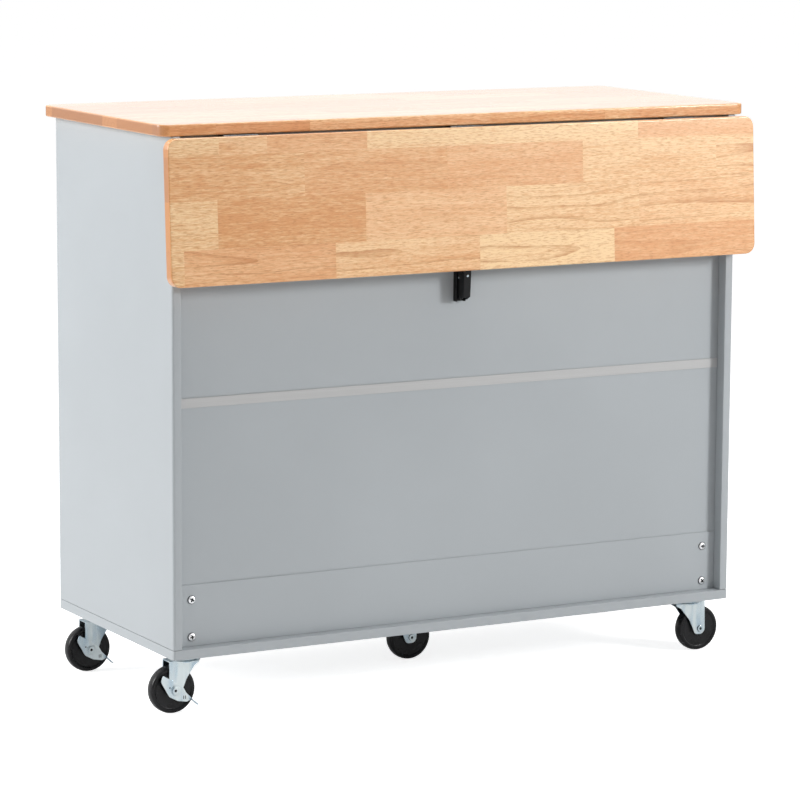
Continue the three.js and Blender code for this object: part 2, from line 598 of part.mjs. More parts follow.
for (const [where, side] of [['left', 1], ['right', -1]]) {
  // door, drawn about its pivot line, with a round hanging edge
  const free = bayInner + FRONT_GAP;
  const hang = BOARD / 2;
  const across = side * (free - pivotX);
  const doorPlan = outline([
    [across, -hang], [side * hang, -hang, hang - SEAM], [side * hang, hang, hang - SEAM], [across, hang],
  ], 5);
  const sunk = [across + side * FRAME_WIDTH, -side * FRAME_WIDTH].sort((a, b) => a - b);
  const sink = box(...sunk, -hang - OVERRUN, PANEL_SINK - hang, FRAME_WIDTH, doorHeight - FRAME_WIDTH);
  const pinBore = (z) => rodZ(PIVOT_PIN_RADIUS + FIT, 2 * PIVOT_PIN_IN_DOOR).translate(0, 0, z);
  part(`door_${where}`, shaped([upright(doorPlan, doorHeight)], [sink, pinBore(0), pinBore(doorHeight)]),
    paint, [side * pivotX, pivotY, doorBottom]);

  // pivot pins, each with a washer that fills the gap between door and board
  const pinFoot = PIN_END_GAP - PIVOT_PIN_IN_BOARD;
  const pinHead = FRONT_GAP + PIVOT_PIN_IN_DOOR - PIN_END_GAP;
  const pinProfile = [
    [0, pinFoot], [PIVOT_PIN_RADIUS, pinFoot], [PIVOT_PIN_RADIUS, FIT], [PIVOT_WASHER_RADIUS, FIT],
    [PIVOT_WASHER_RADIUS, FRONT_GAP - FIT], [PIVOT_PIN_RADIUS, FRONT_GAP - FIT],
    [PIVOT_PIN_RADIUS, pinHead], [0, pinHead],
  ];
  part(`door_pivot_${where}_lower`, turned(pinProfile, 12), zinc, [side * pivotX, pivotY, floorBoardTop]);
  const upper = part(`door_pivot_${where}_upper`, turned(pinProfile, 12), zinc,
    [side * pivotX, pivotY, deckUnderside]);
  upper.rotation.x = Math.PI;

  const knobX = side * (bayInner + FRONT_GAP + KNOB_FROM_DOOR_EDGE);
  part(`door_knob_${where}`, knobShape(), whiteSteel,
    [knobX, frontFace - FIT, doorBottom + doorHeight - KNOB_BELOW_DOOR_TOP]);

  // drawer: a front glued to an open box that slides on the deck
  const middle = side * (bayInner + bayWidth / 2);
  const halfFront = bayWidth / 2 - FRONT_GAP;
  const halfBox = bayWidth / 2 - DRAWER_BOX_SIDE_GAP;
  const boxFront = frontFace + BOARD;
  const boxBack = boxFront + DRAWER_BOX_DEPTH;
  const boxFloor = deckTop + FIT;
  const front = box(-halfFront, halfFront, frontFace, boxFront,
    deckTop + FRONT_GAP, stretcherUnderside - FRONT_GAP);
  const tray = box(-halfBox, halfBox, boxFront - SEAM, boxBack, boxFloor, boxFloor + DRAWER_BOX_HEIGHT);
  const hollow = box(-halfBox + DRAWER_WALL, halfBox - DRAWER_WALL, boxFront, boxBack - DRAWER_WALL,
    boxFloor + DRAWER_BOTTOM, boxFloor + DRAWER_BOX_HEIGHT + OVERRUN);
  const drawerFrame = FRAME_WIDTH / 2;
  const drawerSink = box(-halfFront + drawerFrame, halfFront - drawerFrame, frontFace - OVERRUN,
    frontFace + PANEL_SINK, deckTop + FRONT_GAP + drawerFrame, stretcherUnderside - FRONT_GAP - drawerFrame);
  part(`drawer_${where}`, shaped([front, tray], [hollow, drawerSink]), paint, [middle, 0, 0]);
  part(`drawer_knob_${where}`, knobShape(), whiteSteel,
    [middle, frontFace + PANEL_SINK - FIT, (deckTop + stretcherUnderside) / 2]);
}

// ---------------------------------------------------------------- casters

const axleZ = WHEEL_RADIUS;
const forkTop = CASTER_HEIGHT - FORK_TOP_BELOW_BOARD - axleZ;
const plateTop = CASTER_HEIGHT - FIT - axleZ;
const plateUnder = plateTop - CASTER_PLATE_METAL;
const raceTop = plateUnder - FIT;

// Wheel with a crowned tread, a sunk web and a hub, turned about Y.
function wheelShape() {
  const edge = WHEEL_WIDTH / 2;
  const hub = WHEEL_HUB_WIDTH / 2;
  const bore = AXLE_RADIUS + FIT;
  const face = [
    [bore, -hub], [WHEEL_HUB_RADIUS, -hub], [WHEEL_HUB_RADIUS, WHEEL_WEB_SINK - edge],
    [WHEEL_RADIUS - WHEEL_RIM, WHEEL_WEB_SINK - edge], [WHEEL_RADIUS - WHEEL_EDGE, -edge],
    [WHEEL_RADIUS - WHEEL_CROWN, WHEEL_SHOULDER - edge],
  ];
  const otherFace = face.map(([r, h]) => [r, -h]).reverse();
  return turned([...face, [WHEEL_RADIUS, 0], ...otherFace, face[0]], 24).rotateX(Math.PI / 2);
}

// The fork's plan out to a half width: parallel beside the wheel, and narrowing ahead of it.
function forkPlan(half) {
  const bend = CASTER_TRAIL - FORK_BEND_START;
  const tip = CASTER_TRAIL - FORK_FRONT - OVERRUN;
  const back = CASTER_TRAIL + FORK_EYE_RADIUS + OVERRUN;
  const narrow = half - (bend - tip) * Math.tan(THREE.MathUtils.degToRad(FORK_BEND));
  return outline([[tip, -narrow], [bend, -half], [back, -half], [back, half], [bend, half], [tip, narrow]]);
}

// Fork, drawn about the swivel line at axle height: the wheel trails towards +X.
function forkShape(braked) {
  const trail = CASTER_TRAIL;
  const outer = FORK_GAP / 2 + FORK_METAL;
  const eye = FORK_EYE_RADIUS;
  const leg = outline([
    [trail + eye, -eye, eye - 2 * SEAM], [trail + FORK_BACK, forkTop, FORK_METAL / 2],
    [trail - FORK_FRONT, forkTop, FORK_METAL / 2], [trail - FORK_FRONT, forkTop - FORK_LIP],
    ...FORK_SWEEP.map(([ahead, below, radius]) => [trail - ahead, forkTop - below, radius]),
    [trail - eye, -eye, eye - FORK_METAL],
  ], 4);
  const disc = rodZ(FORK_DISC_RADIUS, FORK_METAL, 16).translate(0, 0, forkTop - FORK_METAL / 2);
  const raceFoot = forkTop - FORK_METAL / 2;
  const race = turned([
    [0, raceFoot], [RACE_RADIUS, raceFoot], [RACE_RADIUS, raceTop - RACE_BEVEL],
    [RACE_RADIUS - RACE_BEVEL, raceTop], [0, raceTop],
  ]);
  const foot = -eye - OVERRUN;
  const outside = upright(forkPlan(outer), forkTop - foot + OVERRUN).translate(0, 0, foot);
  const inside = upright(forkPlan(FORK_GAP / 2), forkTop - FORK_METAL - foot).translate(0, 0, foot);
  const kingpinHole = rodZ(KINGPIN_RADIUS + FIT, 2 * raceTop + 2 * OVERRUN);
  const shell = solidOf(alongY(leg, 2 * (outer + OVERRUN))).intersect(solidOf(outside))
    .subtract(solidOf(inside));
  const head = (side, from, to, radius) =>
    solidOf(rod(radius, to - from + SEAM).translate(trail, side * ((from - SEAM + to) / 2), 0));
  const solid = shell.add(solidOf(disc)).add(solidOf(race)).subtract(solidOf(kingpinHole))
    .add(solidOf(rod(AXLE_RADIUS, 2 * outer).translate(trail, 0, 0)))
    .add(head(-1, outer, outer + AXLE_HEAD, AXLE_HEAD_RADIUS));
  if (!braked) return geometryOf(solid.add(head(1, outer, outer + AXLE_HEAD, AXLE_HEAD_RADIUS)));
  const seat = outer + FIT + LEVER_METAL + FIT;
  return geometryOf(solid.add(head(1, outer, seat, LEVER_SEAT_RADIUS))
    .add(head(1, seat + SEAM, seat + AXLE_HEAD, LEVER_SEAT_HEAD_RADIUS)));
}

// Mounting plate and kingpin: the pin's head carries the fork.
function plateShape() {
  const half = CASTER_PLATE / 2;
  const headTop = forkTop - FORK_METAL - FIT;
  const plan = rectangle(-half, half, -half, half, CASTER_PLATE_CORNER);
  return shaped([
    upright(plan, CASTER_PLATE_METAL).translate(0, 0, plateUnder),
    rodZ(KINGPIN_RADIUS, plateUnder - headTop + 2 * SEAM).translate(0, 0, (plateUnder + headTop) / 2),
    rodZ(KINGPIN_HEAD_RADIUS, KINGPIN_HEAD).translate(0, 0, headTop - KINGPIN_HEAD / 2),
  ]);
}

// Brake lever, drawn about the axle: a leaf-shaped plate with a pedal bent out at its low end.
function leverShape() {
  const outer = FORK_GAP / 2 + FORK_METAL + FIT;
  const leafPlate = alongY(outline(LEVER_CORNERS, 3), LEVER_METAL).translate(0, outer + LEVER_METAL / 2, 0);
  const pedal = box(-PEDAL_LENGTH, LEVER_METAL / 2, 0, PEDAL_WIDTH, -LEVER_METAL / 2, LEVER_METAL / 2)
    .rotateY(THREE.MathUtils.degToRad(-PEDAL_SLANT)).translate(PEDAL_START[0], outer, PEDAL_START[1]);
  const hole = rod(LEVER_SEAT_RADIUS + FIT, 2 * (outer + LEVER_METAL + OVERRUN));
  return shaped([leafPlate, pedal], [hole]);
}

const casterX = CABINET_LENGTH / 2 - CASTER_FROM_END;
const casterNear = cabinetBack - CASTER_FROM_EDGE;
const casterFar = cabinetFront + CASTER_FROM_EDGE;
const casterMiddle = (cabinetBack + cabinetFront) / 2;
const casters = [
  { where: 'back_left', x: casterX, y: casterNear, braked: true },
  { where: 'front_left', x: casterX, y: casterFar, braked: true },
  { where: 'middle', x: 0, y: casterMiddle, braked: false },
  { where: 'back_right', x: -casterX, y: casterNear, braked: false },
  { where: 'front_right', x: -casterX, y: casterFar, braked: false },
];
for (const { where, x, y, braked } of casters) {
  const caster = group([x, y, axleZ]);
  caster.rotation.z = braked ? 0 : Math.PI;
  part(`caster_plate_${where}`, plateShape(), zinc, [0, 0, 0], caster);
  part(`caster_fork_${where}`, forkShape(braked), zinc, [0, 0, 0], caster);
  part(`caster_wheel_${where}`, wheelShape(), blackRubber, [CASTER_TRAIL, 0, 0], caster);
  if (braked) part(`brake_lever_${where}`, leverShape(), zinc, [CASTER_TRAIL, 0, 0], caster);
}

// ---------------------------------------------------------------- origin

// The island is shifted so that the middle of its outline, front to back, lies at y = 0.
island.updateMatrixWorld(true);
const outlineBox = new THREE.Box3().setFromObject(island, true);
island.position.y = -(outlineBox.min.y + outlineBox.max.y) / 2;
island.updateMatrixWorld(true);

export default island;
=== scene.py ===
import json
import math
import random

import bmesh
import bpy
from mathutils import Matrix, Vector


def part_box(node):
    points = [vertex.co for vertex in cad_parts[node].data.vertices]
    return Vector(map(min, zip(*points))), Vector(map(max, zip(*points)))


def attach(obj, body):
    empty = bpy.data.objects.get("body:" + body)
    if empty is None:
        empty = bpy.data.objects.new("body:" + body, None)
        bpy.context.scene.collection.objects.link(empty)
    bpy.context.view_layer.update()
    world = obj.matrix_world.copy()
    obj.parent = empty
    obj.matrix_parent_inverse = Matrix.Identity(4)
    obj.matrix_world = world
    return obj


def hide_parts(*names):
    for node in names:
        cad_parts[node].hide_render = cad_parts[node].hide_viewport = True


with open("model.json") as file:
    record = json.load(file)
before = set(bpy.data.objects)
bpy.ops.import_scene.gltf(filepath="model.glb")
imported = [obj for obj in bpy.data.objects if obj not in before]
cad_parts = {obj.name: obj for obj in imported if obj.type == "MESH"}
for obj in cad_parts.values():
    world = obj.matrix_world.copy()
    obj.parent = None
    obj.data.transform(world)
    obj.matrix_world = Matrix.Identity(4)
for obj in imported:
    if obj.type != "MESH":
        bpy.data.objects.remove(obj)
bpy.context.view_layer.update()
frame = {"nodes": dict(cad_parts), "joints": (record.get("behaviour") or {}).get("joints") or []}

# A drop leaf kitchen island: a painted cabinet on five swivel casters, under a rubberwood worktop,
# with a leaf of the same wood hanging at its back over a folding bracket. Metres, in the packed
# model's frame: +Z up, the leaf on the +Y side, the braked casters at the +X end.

# ---------------------------------------------------------------------------------------------
# Worktop: rubberwood blocks, finger-jointed end to end into staves and glued edge to edge into a
# plate, then planed, its corners rounded and its edges eased, under a clear satin lacquer.

mm = 0.001
SHARP_ANGLE = math.radians(35)


def rounded_rectangle(x0, x1, y0, y1, radius, steps=10):
    """The outline of a rectangle with a quarter circle at each corner, anticlockwise."""
    points = []
    for turn, (x, y) in enumerate(((x1 - radius, y1 - radius), (x0 + radius, y1 - radius),
                                   (x0 + radius, y0 + radius), (x1 - radius, y0 + radius))):
        for step in range(steps + 1):
            angle = math.radians(90) * (turn + step / steps)
            points.append((x + radius * math.cos(angle), y + radius * math.sin(angle)))
    return points


def extruded(shape, outline, low, high):
    """Adds the prism of an outline, from z = low to z = high, to a bmesh."""
    base = shape.faces.new([shape.verts.new((x, y, low)) for x, y in outline])
    raised = bmesh.ops.extrude_face_region(shape, geom=[base])["geom"]
    top = [v for v in raised if isinstance(v, bmesh.types.BMVert)]
    bmesh.ops.translate(shape, verts=top, vec=(0, 0, high - low))
    bmesh.ops.recalc_face_normals(shape, faces=shape.faces)


def ease(shape, width):
    """Breaks the sharp edges of a bmesh, as sanding or a deburring wheel does."""
    sharp = [e for e in shape.edges if len(e.link_faces) == 2 and e.calc_face_angle() > SHARP_ANGLE]
    bmesh.ops.bevel(shape, geom=sharp, offset=width, segments=2, profile=0.5, affect="EDGES",
                    clamp_overlap=True)


def piece(name, shape, body, material, replaced=(), crease=30):
    """Turns a bmesh into a smooth-shaded object, of one material or a list, that rides on a body."""
    mesh = bpy.data.meshes.new(name)
    shape.to_mesh(mesh)
    shape.free()
    mesh.shade_smooth()
    mesh.set_sharp_from_angle(angle=math.radians(crease))
    made = bpy.data.objects.new(name, mesh)
    bpy.context.scene.collection.objects.link(made)
    for each in material if isinstance(material, list) else [material]:
        made.data.materials.append(each)
    even = made.modifiers.new("even_shading", "WEIGHTED_NORMAL")
    even.keep_sharp = True
    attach(made, body)
    if replaced:
        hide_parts(*replaced)
    return made


def put(tree, kind, settings=None, **inputs):
    """Adds a shader node. A value that is a socket is linked, and any other is set. _2 is input 2."""
    node = tree.nodes.new("ShaderNode" + kind)
    for key, value in (settings or {}).items():
        setattr(node, key, value)
    for key, value in inputs.items():
        socket = node.inputs[int(key[1:])] if key[0] == "_" else node.inputs[key.replace("_", " ")]
        if isinstance(value, bpy.types.NodeSocket):
            tree.links.new(value, socket)
        else:
            socket.default_value = value
    return node


def calc(tree, operation, a, b):
    """One step of arithmetic on two values."""
    return put(tree, "Math", {"operation": operation}, _0=a, _1=b).outputs[0]


def scaled(tree, vector, factors):
    """A vector with each of its parts multiplied."""
    return put(tree, "VectorMath", {"operation": "MULTIPLY"}, _0=vector, _1=factors).outputs[0]


def spread(tree, value, low, high, to_low=0.0, to_high=1.0):
    """A value carried from one range to another, and held inside it."""
    return put(tree, "MapRange", Value=value, From_Min=low, From_Max=high, To_Min=to_low,
               To_Max=to_high).outputs[0]


def mixed(tree, amount, first, second):
    """The first colour, with so much of the second over it."""
    return put(tree, "Mix", {"data_type": "RGBA"}, _0=amount, _6=first, _7=second).outputs[2]


def noise(tree, vector, detail, roughness=0.5):
    """Soft random changes between 0 and 1, about one for each unit of the vector."""
    return put(tree, "TexNoise", Vector=vector, Scale=1.0, Detail=detail, Roughness=roughness).outputs[0]


def shader(name, **sockets):
    """A new material, its node tree and its shader, with plain values on the shader's sockets."""
    material = bpy.data.materials.new(name)
    material.use_nodes = True
    tree = material.node_tree
    surface = tree.nodes["Principled BSDF"]
    for key, value in sockets.items():
        surface.inputs[key.replace("_", " ")].default_value = value
    return material, tree, surface


def swing(tree, value, depth):
    """The usual range of a noise, spread evenly to both sides of nothing."""
    return spread(tree, value, 0.3, 0.7, -depth, depth)


# how often the wood changes in a metre: along the grain, across it and through the board
WANDER = (3.4, 13, 13)
BREAKS = (20, 60, 60)
BANDS = (2.4, 34, 34)
STREAKS = (9, 230, 230)
FIBRES = (75, 600, 600)
PORES = (95, 720, 720)
# how far the growth lines sway in metres, how much they are drawn out along the grain, and how many
# of them there are
SWAY = (0, 32 * mm, 32 * mm)
STRETCH = (0.03, 1, 1)
RINGS = 34.0


def rubberwood(name):
    """Each block's own tone, warmth and figure, with growth lines, fibres and pores along it."""
    material, tree, surface = shader(name, Coat_Weight=1.0, Coat_Roughness=0.12, Coat_IOR=1.5,
                                     Specular_IOR_Level=0.4)
    along = put(tree, "Attribute", {"attribute_name": "grain"}).outputs["Vector"]
    block = put(tree, "Attribute", {"attribute_name": "block"}).outputs["Vector"]
    own = put(tree, "SeparateXYZ", Vector=block).outputs
    tone, warmth, figure = own[0], own[1], own[2]

    # slow waves carry the growth lines up and down, which draws the cathedral shapes
    wander = put(tree, "TexNoise", Vector=scaled(tree, along, WANDER), Scale=1.0, Detail=1.0)
    shifted = put(tree, "VectorMath", {"operation": "SUBTRACT"}, _0=wander.outputs[1], _1=(0.5, 0.5, 0.5))
    swayed = put(tree, "VectorMath", {"operation": "ADD"}, _0=along,
                 _1=scaled(tree, shifted.outputs[0], SWAY)).outputs[0]
    rings = put(tree, "TexWave", {"wave_type": "RINGS", "rings_direction": "X", "wave_profile": "SAW"},
                Vector=scaled(tree, swayed, STRETCH), Scale=RINGS, Distortion=0.5, Detail=2.0,
                Detail_Scale=3.0).outputs[1]
    broken = noise(tree, scaled(tree, along, BREAKS), 2)
    ring_line = calc(tree, "MULTIPLY", spread(tree, rings, 0.8, 1.0), spread(tree, broken, 0.3, 0.6))

    band = noise(tree, scaled(tree, along, BANDS), 2)
    streak = noise(tree, scaled(tree, swayed, STREAKS), 3, 0.6)
    fibre = noise(tree, scaled(tree, along, FIBRES), 2, 0.6)
    pore = noise(tree, scaled(tree, along, PORES), 2, 0.6)

    pale = (0.98, 0.69, 0.38, 1)
    tan = (0.73, 0.33, 0.115, 1)
    rosy = (0.92, 0.48, 0.25, 1)
    brown = (0.52, 0.18, 0.035, 1)
    end_grain = (0.45, 0.2, 0.09, 1)
    depth = tone
    for layer, strength in ((band, 0.2), (streak, 0.26), (fibre, 0.4)):
        depth = calc(tree, "ADD", depth, swing(tree, layer, strength))
    depth = calc(tree, "ADD", depth, calc(tree, "MULTIPLY", calc(tree, "MULTIPLY", rings, 0.14), figure))
    colour = mixed(tree, put(tree, "Clamp", Value=depth).outputs[0], pale, tan)
    colour = mixed(tree, calc(tree, "MULTIPLY", warmth, 0.55), colour, rosy)
    lines = calc(tree, "MULTIPLY", calc(tree, "MULTIPLY", ring_line, figure), 0.75)
    colour = mixed(tree, lines, colour, brown)
    colour = mixed(tree, spread(tree, pore, 0.5, 0.68, 0, 0.56), colour, brown)
    colour = mixed(tree, spread(tree, tone, 1.0, 2.0), colour, end_grain)
    tree.links.new(colour, surface.inputs["Base Color"])
    tree.links.new(spread(tree, streak, 0.3, 0.7, 0.36, 0.46), surface.inputs["Roughness"])
    bump = put(tree, "Bump", Strength=0.1, Distance=0.0004, Height=calc(tree, "ADD", pore, streak))
    tree.links.new(bump.outputs[0], surface.inputs["Normal"])
    return material


def stave_plate(low, high, corner, arris, rows, side_tone, end_tone):
    """A plate of wood blocks. rows lists each stave: its far edge, its block ends and their looks.

    The sides and ends of the plate are darker than its face by side_tone and end_tone."""
    shape = bmesh.new()
    extruded(shape, rounded_rectangle(low.x, high.x, low.y, high.y, corner), low.z, high.z)
    level = (low.z, high.z)
    rims = [e for e in shape.edges if e.verts[0].co.z == e.verts[1].co.z and e.verts[0].co.z in level]
    bmesh.ops.bevel(shape, geom=rims, offset=arris, segments=4, profile=0.5, affect="EDGES")
    for edge, _, _ in rows[:-1]:
        everything = shape.verts[:] + shape.edges[:] + shape.faces[:]
        bmesh.ops.bisect_plane(shape, geom=everything, plane_co=(0, edge, 0), plane_no=(0, 1, 0))
    near = low.y
    for edge, ends, _ in rows:
        for end in ends:
            faces = [f for f in shape.faces if near < f.calc_center_median().y < edge]
            edges = {e for f in faces for e in f.edges}
            corners = {v for f in faces for v in f.verts}
            bmesh.ops.bisect_plane(shape, geom=[*corners, *edges, *faces], plane_co=(end, 0, 0),
                                   plane_no=(1, 0, 0))
        near = edge
    grain = shape.loops.layers.float_vector.new("grain")
    block = shape.loops.layers.float_vector.new("block")
    shape.normal_update()
    starts = [low.y] + [row[0] for row in rows]
    for face in shape.faces:
        centre = face.calc_center_median()
        row = next((k for k, r in enumerate(rows) if centre.y < r[0]), len(rows) - 1)
        spot = sum(centre.x < end for end in rows[row][1])
        tone, warmth, figure = rows[row][2][spot]
        # each block comes from another place in the log
        own = random.Random(1000 * row + spot + 7 * len(rows))
        heart = Vector((own.uniform(0, 9), own.uniform(-0.02, 0.02), own.uniform(0.012, 0.03)))
        heart -= Vector((0, (starts[row] + starts[row + 1]) / 2, (low.z + high.z) / 2))
        tone += side_tone * (1 - abs(face.normal.z)) + end_tone * face.normal.x ** 2
        for loop in face.loops:
            loop[grain] = loop.vert.co + heart
            loop[block] = (tone, warmth, figure)
    return shape


def shuffled_rows(low, high, stave_widths, shortest, longest, seed):
    """Staves across a plate, each of blocks of random length, tone, warmth and figure."""
    pick = random.Random(seed)
    rows = []
    edge = low.y
    for width in stave_widths:
        edge += width
        ends = []
        x = high.x - pick.uniform(0.3 * shortest, longest)
        while x > low.x + 0.4 * shortest:
            ends.append(x)
            x -= pick.uniform(shortest, longest)
        looks = [(pick.choice((0.12, 0.3, 0.42, 0.58)), pick.choice((0, 0.2, 0.6)),
                  pick.choice((0.1, 0.3, 1.0))) for _ in range(len(ends) + 1)]
        rows.append((edge, ends, looks))
    rows[-1] = (high.y + mm, *rows[-1][1:])
    return rows


CORNER_ROUND = 17 * mm
ARRIS = 2.5 * mm
TOP_STAVES = (38, 66, 59, 70, 54, 67, 62, 48)
SHORTEST_BLOCK = 150 * mm
LONGEST_BLOCK = 340 * mm
SHUFFLE = 3
TOP_SIDE_TONE = 0.32
TOP_END_TONE = 1.2
wood = rubberwood("lacquered_rubberwood")
top_low, top_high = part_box("countertop")
top_rows = shuffled_rows(top_low, top_high, [width * mm for width in TOP_STAVES], SHORTEST_BLOCK,
                         LONGEST_BLOCK, SHUFFLE)
top_shape = stave_plate(top_low, top_high, CORNER_ROUND, ARRIS, top_rows, TOP_SIDE_TONE, TOP_END_TONE)
piece("worktop_plate", top_shape, "cabinet", wood, ["countertop"])

# ---------------------------------------------------------------------------------------------
# Drop leaf: a plate of the same blocks, as thick as the worktop. It is laid up flat beside the
# worktop, on the hinge line, and then turned down to where it hangs.

leaf_hinge = next(j for j in frame["joints"] if j["name"] == "leaf_hinge")
hinge_line = Vector(leaf_hinge["pos_m"])
hang = math.radians(leaf_hinge["range_deg"][1])


def turned_about(centre, angle):
    """The matrix that turns about a line along X through a point."""
    return Matrix.Translation(centre) @ Matrix.Rotation(angle, 4, "X") @ Matrix.Translation(-centre)


lowered = turned_about(hinge_line, -hang)
raised = turned_about(hinge_line, hang)
flat = [raised @ v.co for v in frame["nodes"]["drop_leaf"].data.vertices]
leaf_low = Vector([min(p[k] for p in flat) for k in range(3)])
leaf_high = Vector([max(p[k] for p in flat) for k in range(3)])
LEAF_SIDE_TONE = 0.2
LEAF_END_TONE = 0.9
# each stave from the hinge outwards: its width and where its blocks end, in millimetres, and each
# block's tone, warmth and figure, from the braked end to the other
LEAF_STAVES = [
    (27.5, (436, 356, 186, -300), ((0.36, 0, 0.1), (0.56, 0.3, 0.1), (0.58, 0.5, 0.2), (0.1, 0, 0.1),
                                   (0.5, 0.7, 0.2))),
    (66.5, (294, 47, -197, -447), ((0.64, 0.1, 0.2), (0.64, 0.3, 0.4), (0.58, 0.5, 0.3),
                                   (0.3, 0.1, 0.1), (0.24, 0.15, 1.0))),
    (73.0, (441, 191, -57, -300), ((0.24, 0, 0.1), (0.86, 0.1, 0.3), (0.28, 0.6, 0.2), (0.2, 0.1, 0.9),
                                   (0.26, 0.3, 0.9))),
    (55.0, (498, 244, -8, -253), ((0.34, 0, 0.2), (0.56, 0.6, 0.8), (0.3, 0.3, 1.0), (-0.08, 0, 1.0),
                                  (0.66, 0.6, 0.5))),
]
leaf_rows = []
stave_edge = leaf_low.y
for width, ends, looks in LEAF_STAVES:
    stave_edge += width * mm
    leaf_rows.append((stave_edge, [end * mm for end in ends], looks))
leaf_shape = stave_plate(leaf_low, leaf_high, CORNER_ROUND, ARRIS, leaf_rows, LEAF_SIDE_TONE,
                         LEAF_END_TONE)
leaf_shape.transform(lowered)
piece("leaf_plate", leaf_shape, "leaf", wood, ["drop_leaf"])

# ---------------------------------------------------------------------------------------------
# Leaf hinges: three steel butt hinges, zinc plated, their metal drawn near black as painted shade
# of the gap they sit in. Their wings are screwed to the undersides of the worktop and of the leaf,
# and their knuckles close round a pin below the joint.


def plated_metal(name, colour, roughness, brushing=0.05, banding=1.0):
    """Plated metal: soft bands of blue and straw that run down it, and fine scuffs."""
    material, tree, surface = shader(name, Metallic=1.0)
    spot = put(tree, "TexCoord").outputs["Object"]
    cloud = noise(tree, scaled(tree, spot, (75, 75, 14)), 2)
    scuff = noise(tree, scaled(tree, spot, (700, 900, 2600)), 3, 0.7)
    warm = tuple(c * (1 + f * banding) for c, f in zip(colour, (0.1, 0.07, 0.03))) + (1,)
    cool = tuple(c * (1 - f * banding) for c, f in zip(colour, (0.27, 0.2, 0.14))) + (1,)
    tree.links.new(mixed(tree, spread(tree, cloud, 0.38, 0.62), cool, warm), surface.inputs["Base Color"])
    tree.links.new(spread(tree, calc(tree, "ADD", cloud, scuff), 0.7, 1.3, roughness - 0.07,
                          roughness + 0.09), surface.inputs["Roughness"])
    bump = put(tree, "Bump", Strength=brushing, Distance=0.0002, Height=scuff)
    tree.links.new(bump.outputs[0], surface.inputs["Normal"])
    return material


def slab_between(shape, low, high, soften):
    """Adds a box between two corners to a bmesh, its edges softened."""
    block = bmesh.new()
    size = Vector(high) - Vector(low)
    middle = (Vector(high) + Vector(low)) / 2
    bmesh.ops.create_cube(block, size=1, matrix=Matrix.Translation(middle) @ Matrix.Diagonal((*size, 1)))
    ease(block, soften)
    joined(shape, block)


def joined(shape, other, matrix=None):
    """Moves what another bmesh holds into this one."""
    if matrix is not None:
        other.transform(matrix)
    carrier = bpy.data.meshes.new("carrier")
    other.to_mesh(carrier)
    other.free()
    shape.from_mesh(carrier)
    bpy.data.meshes.remove(carrier)


def turned(profile, sides):
    """A bmesh turned about Z from a profile of (radius, height) points."""
    shape = bmesh.new()
    rings = []
    for radius, height in profile:
        if radius == 0:
            rings.append([shape.verts.new((0, 0, height))])
            continue
        angles = [2 * math.pi * k / sides for k in range(sides)]
        circle = [(radius * math.cos(a), radius * math.sin(a), height) for a in angles]
        rings.append([shape.verts.new(point) for point in circle])
    for below, above in zip(rings, rings[1:]):
        for k in range(sides):
            corners = [below[k % len(below)], below[(k + 1) % len(below)],
                       above[(k + 1) % len(above)], above[k % len(above)]]
            distinct = list(dict.fromkeys(corners))
            if len(distinct) > 2:
                shape.faces.new(distinct)
    bmesh.ops.recalc_face_normals(shape, faces=shape.faces)
    return shape


def less(shape, cutter):
    """What is left of a bmesh when another is cut away from it."""
    objects = []
    for name, part in (("kept", shape), ("cut", cutter)):
        mesh = bpy.data.meshes.new(name)
        part.to_mesh(mesh)
        part.free()
        objects.append(bpy.data.objects.new(name, mesh))
        bpy.context.scene.collection.objects.link(objects[-1])
    saw = objects[0].modifiers.new("saw", "BOOLEAN")
    saw.object = objects[1]
    saw.solver = "EXACT"
    bpy.context.view_layer.update()
    done = objects[0].evaluated_get(bpy.context.evaluated_depsgraph_get())
    left = bmesh.new()
    left.from_mesh(done.data)
    for thing in objects:
        bpy.data.meshes.remove(thing.data)
    return left


def screw_head(radius, height, reach, deep, rim, sides):
    """A domed screw head on z = 0, with a cross recess of some reach and depth.

    Its straight rim is a share of its height. The recess and the rim take the second material, as painted
    shade."""
    steps = 6
    cap = 0.9 * radius
    dome = [(cap * math.cos(a), height * (rim + (1 - rim) * math.sin(a)))
            for a in (math.pi / 2 * k / steps for k in range(steps))]
    head = turned([(0, 0), (radius, 0), (radius, 0.6 * rim * height), *dome, (0, height)], sides)
    cross = bmesh.new()
    wide = 0.3 * reach
    arms = [(reach, -wide), (reach, wide), (wide, wide), (wide, reach), (-wide, reach), (-wide, wide),
            (-reach, wide), (-reach, -wide), (-wide, -wide), (-wide, -reach), (wide, -reach), (wide, -wide)]
    extruded(cross, arms, height - deep, height + 0.3 * mm)
    for vert in cross.verts:
        if vert.co.z < height:
            vert.co.x *= 0.55
            vert.co.y *= 0.55
    head = less(head, cross)
    head.normal_update()
    # faces down in the cross and round the rim are painted dark: painted shade in the recess and a painted
    # shadow round the head
    for face in head.faces:
        centre = face.calc_center_median()
        sunk = centre.z < 0.88 * height and centre.xy.length < 0.8 * reach
        face.material_index = int(sunk or centre.xy.length > 1.01 * cap)
    return head


def facing(direction, spin=0.0):
    """The matrix that turns +Z to a direction, after a spin about it."""
    turn = Vector((0, 0, 1)).rotation_difference(Vector(direction)).to_matrix().to_4x4()
    return turn @ Matrix.Rotation(math.radians(spin), 4, "Z")


HINGE_PLATE = 1.6 * mm
KNUCKLE_RADIUS = 2.7 * mm
KNUCKLES = 5
KNUCKLE_GAP = 0.4 * mm
WING_CORNER = 2 * mm
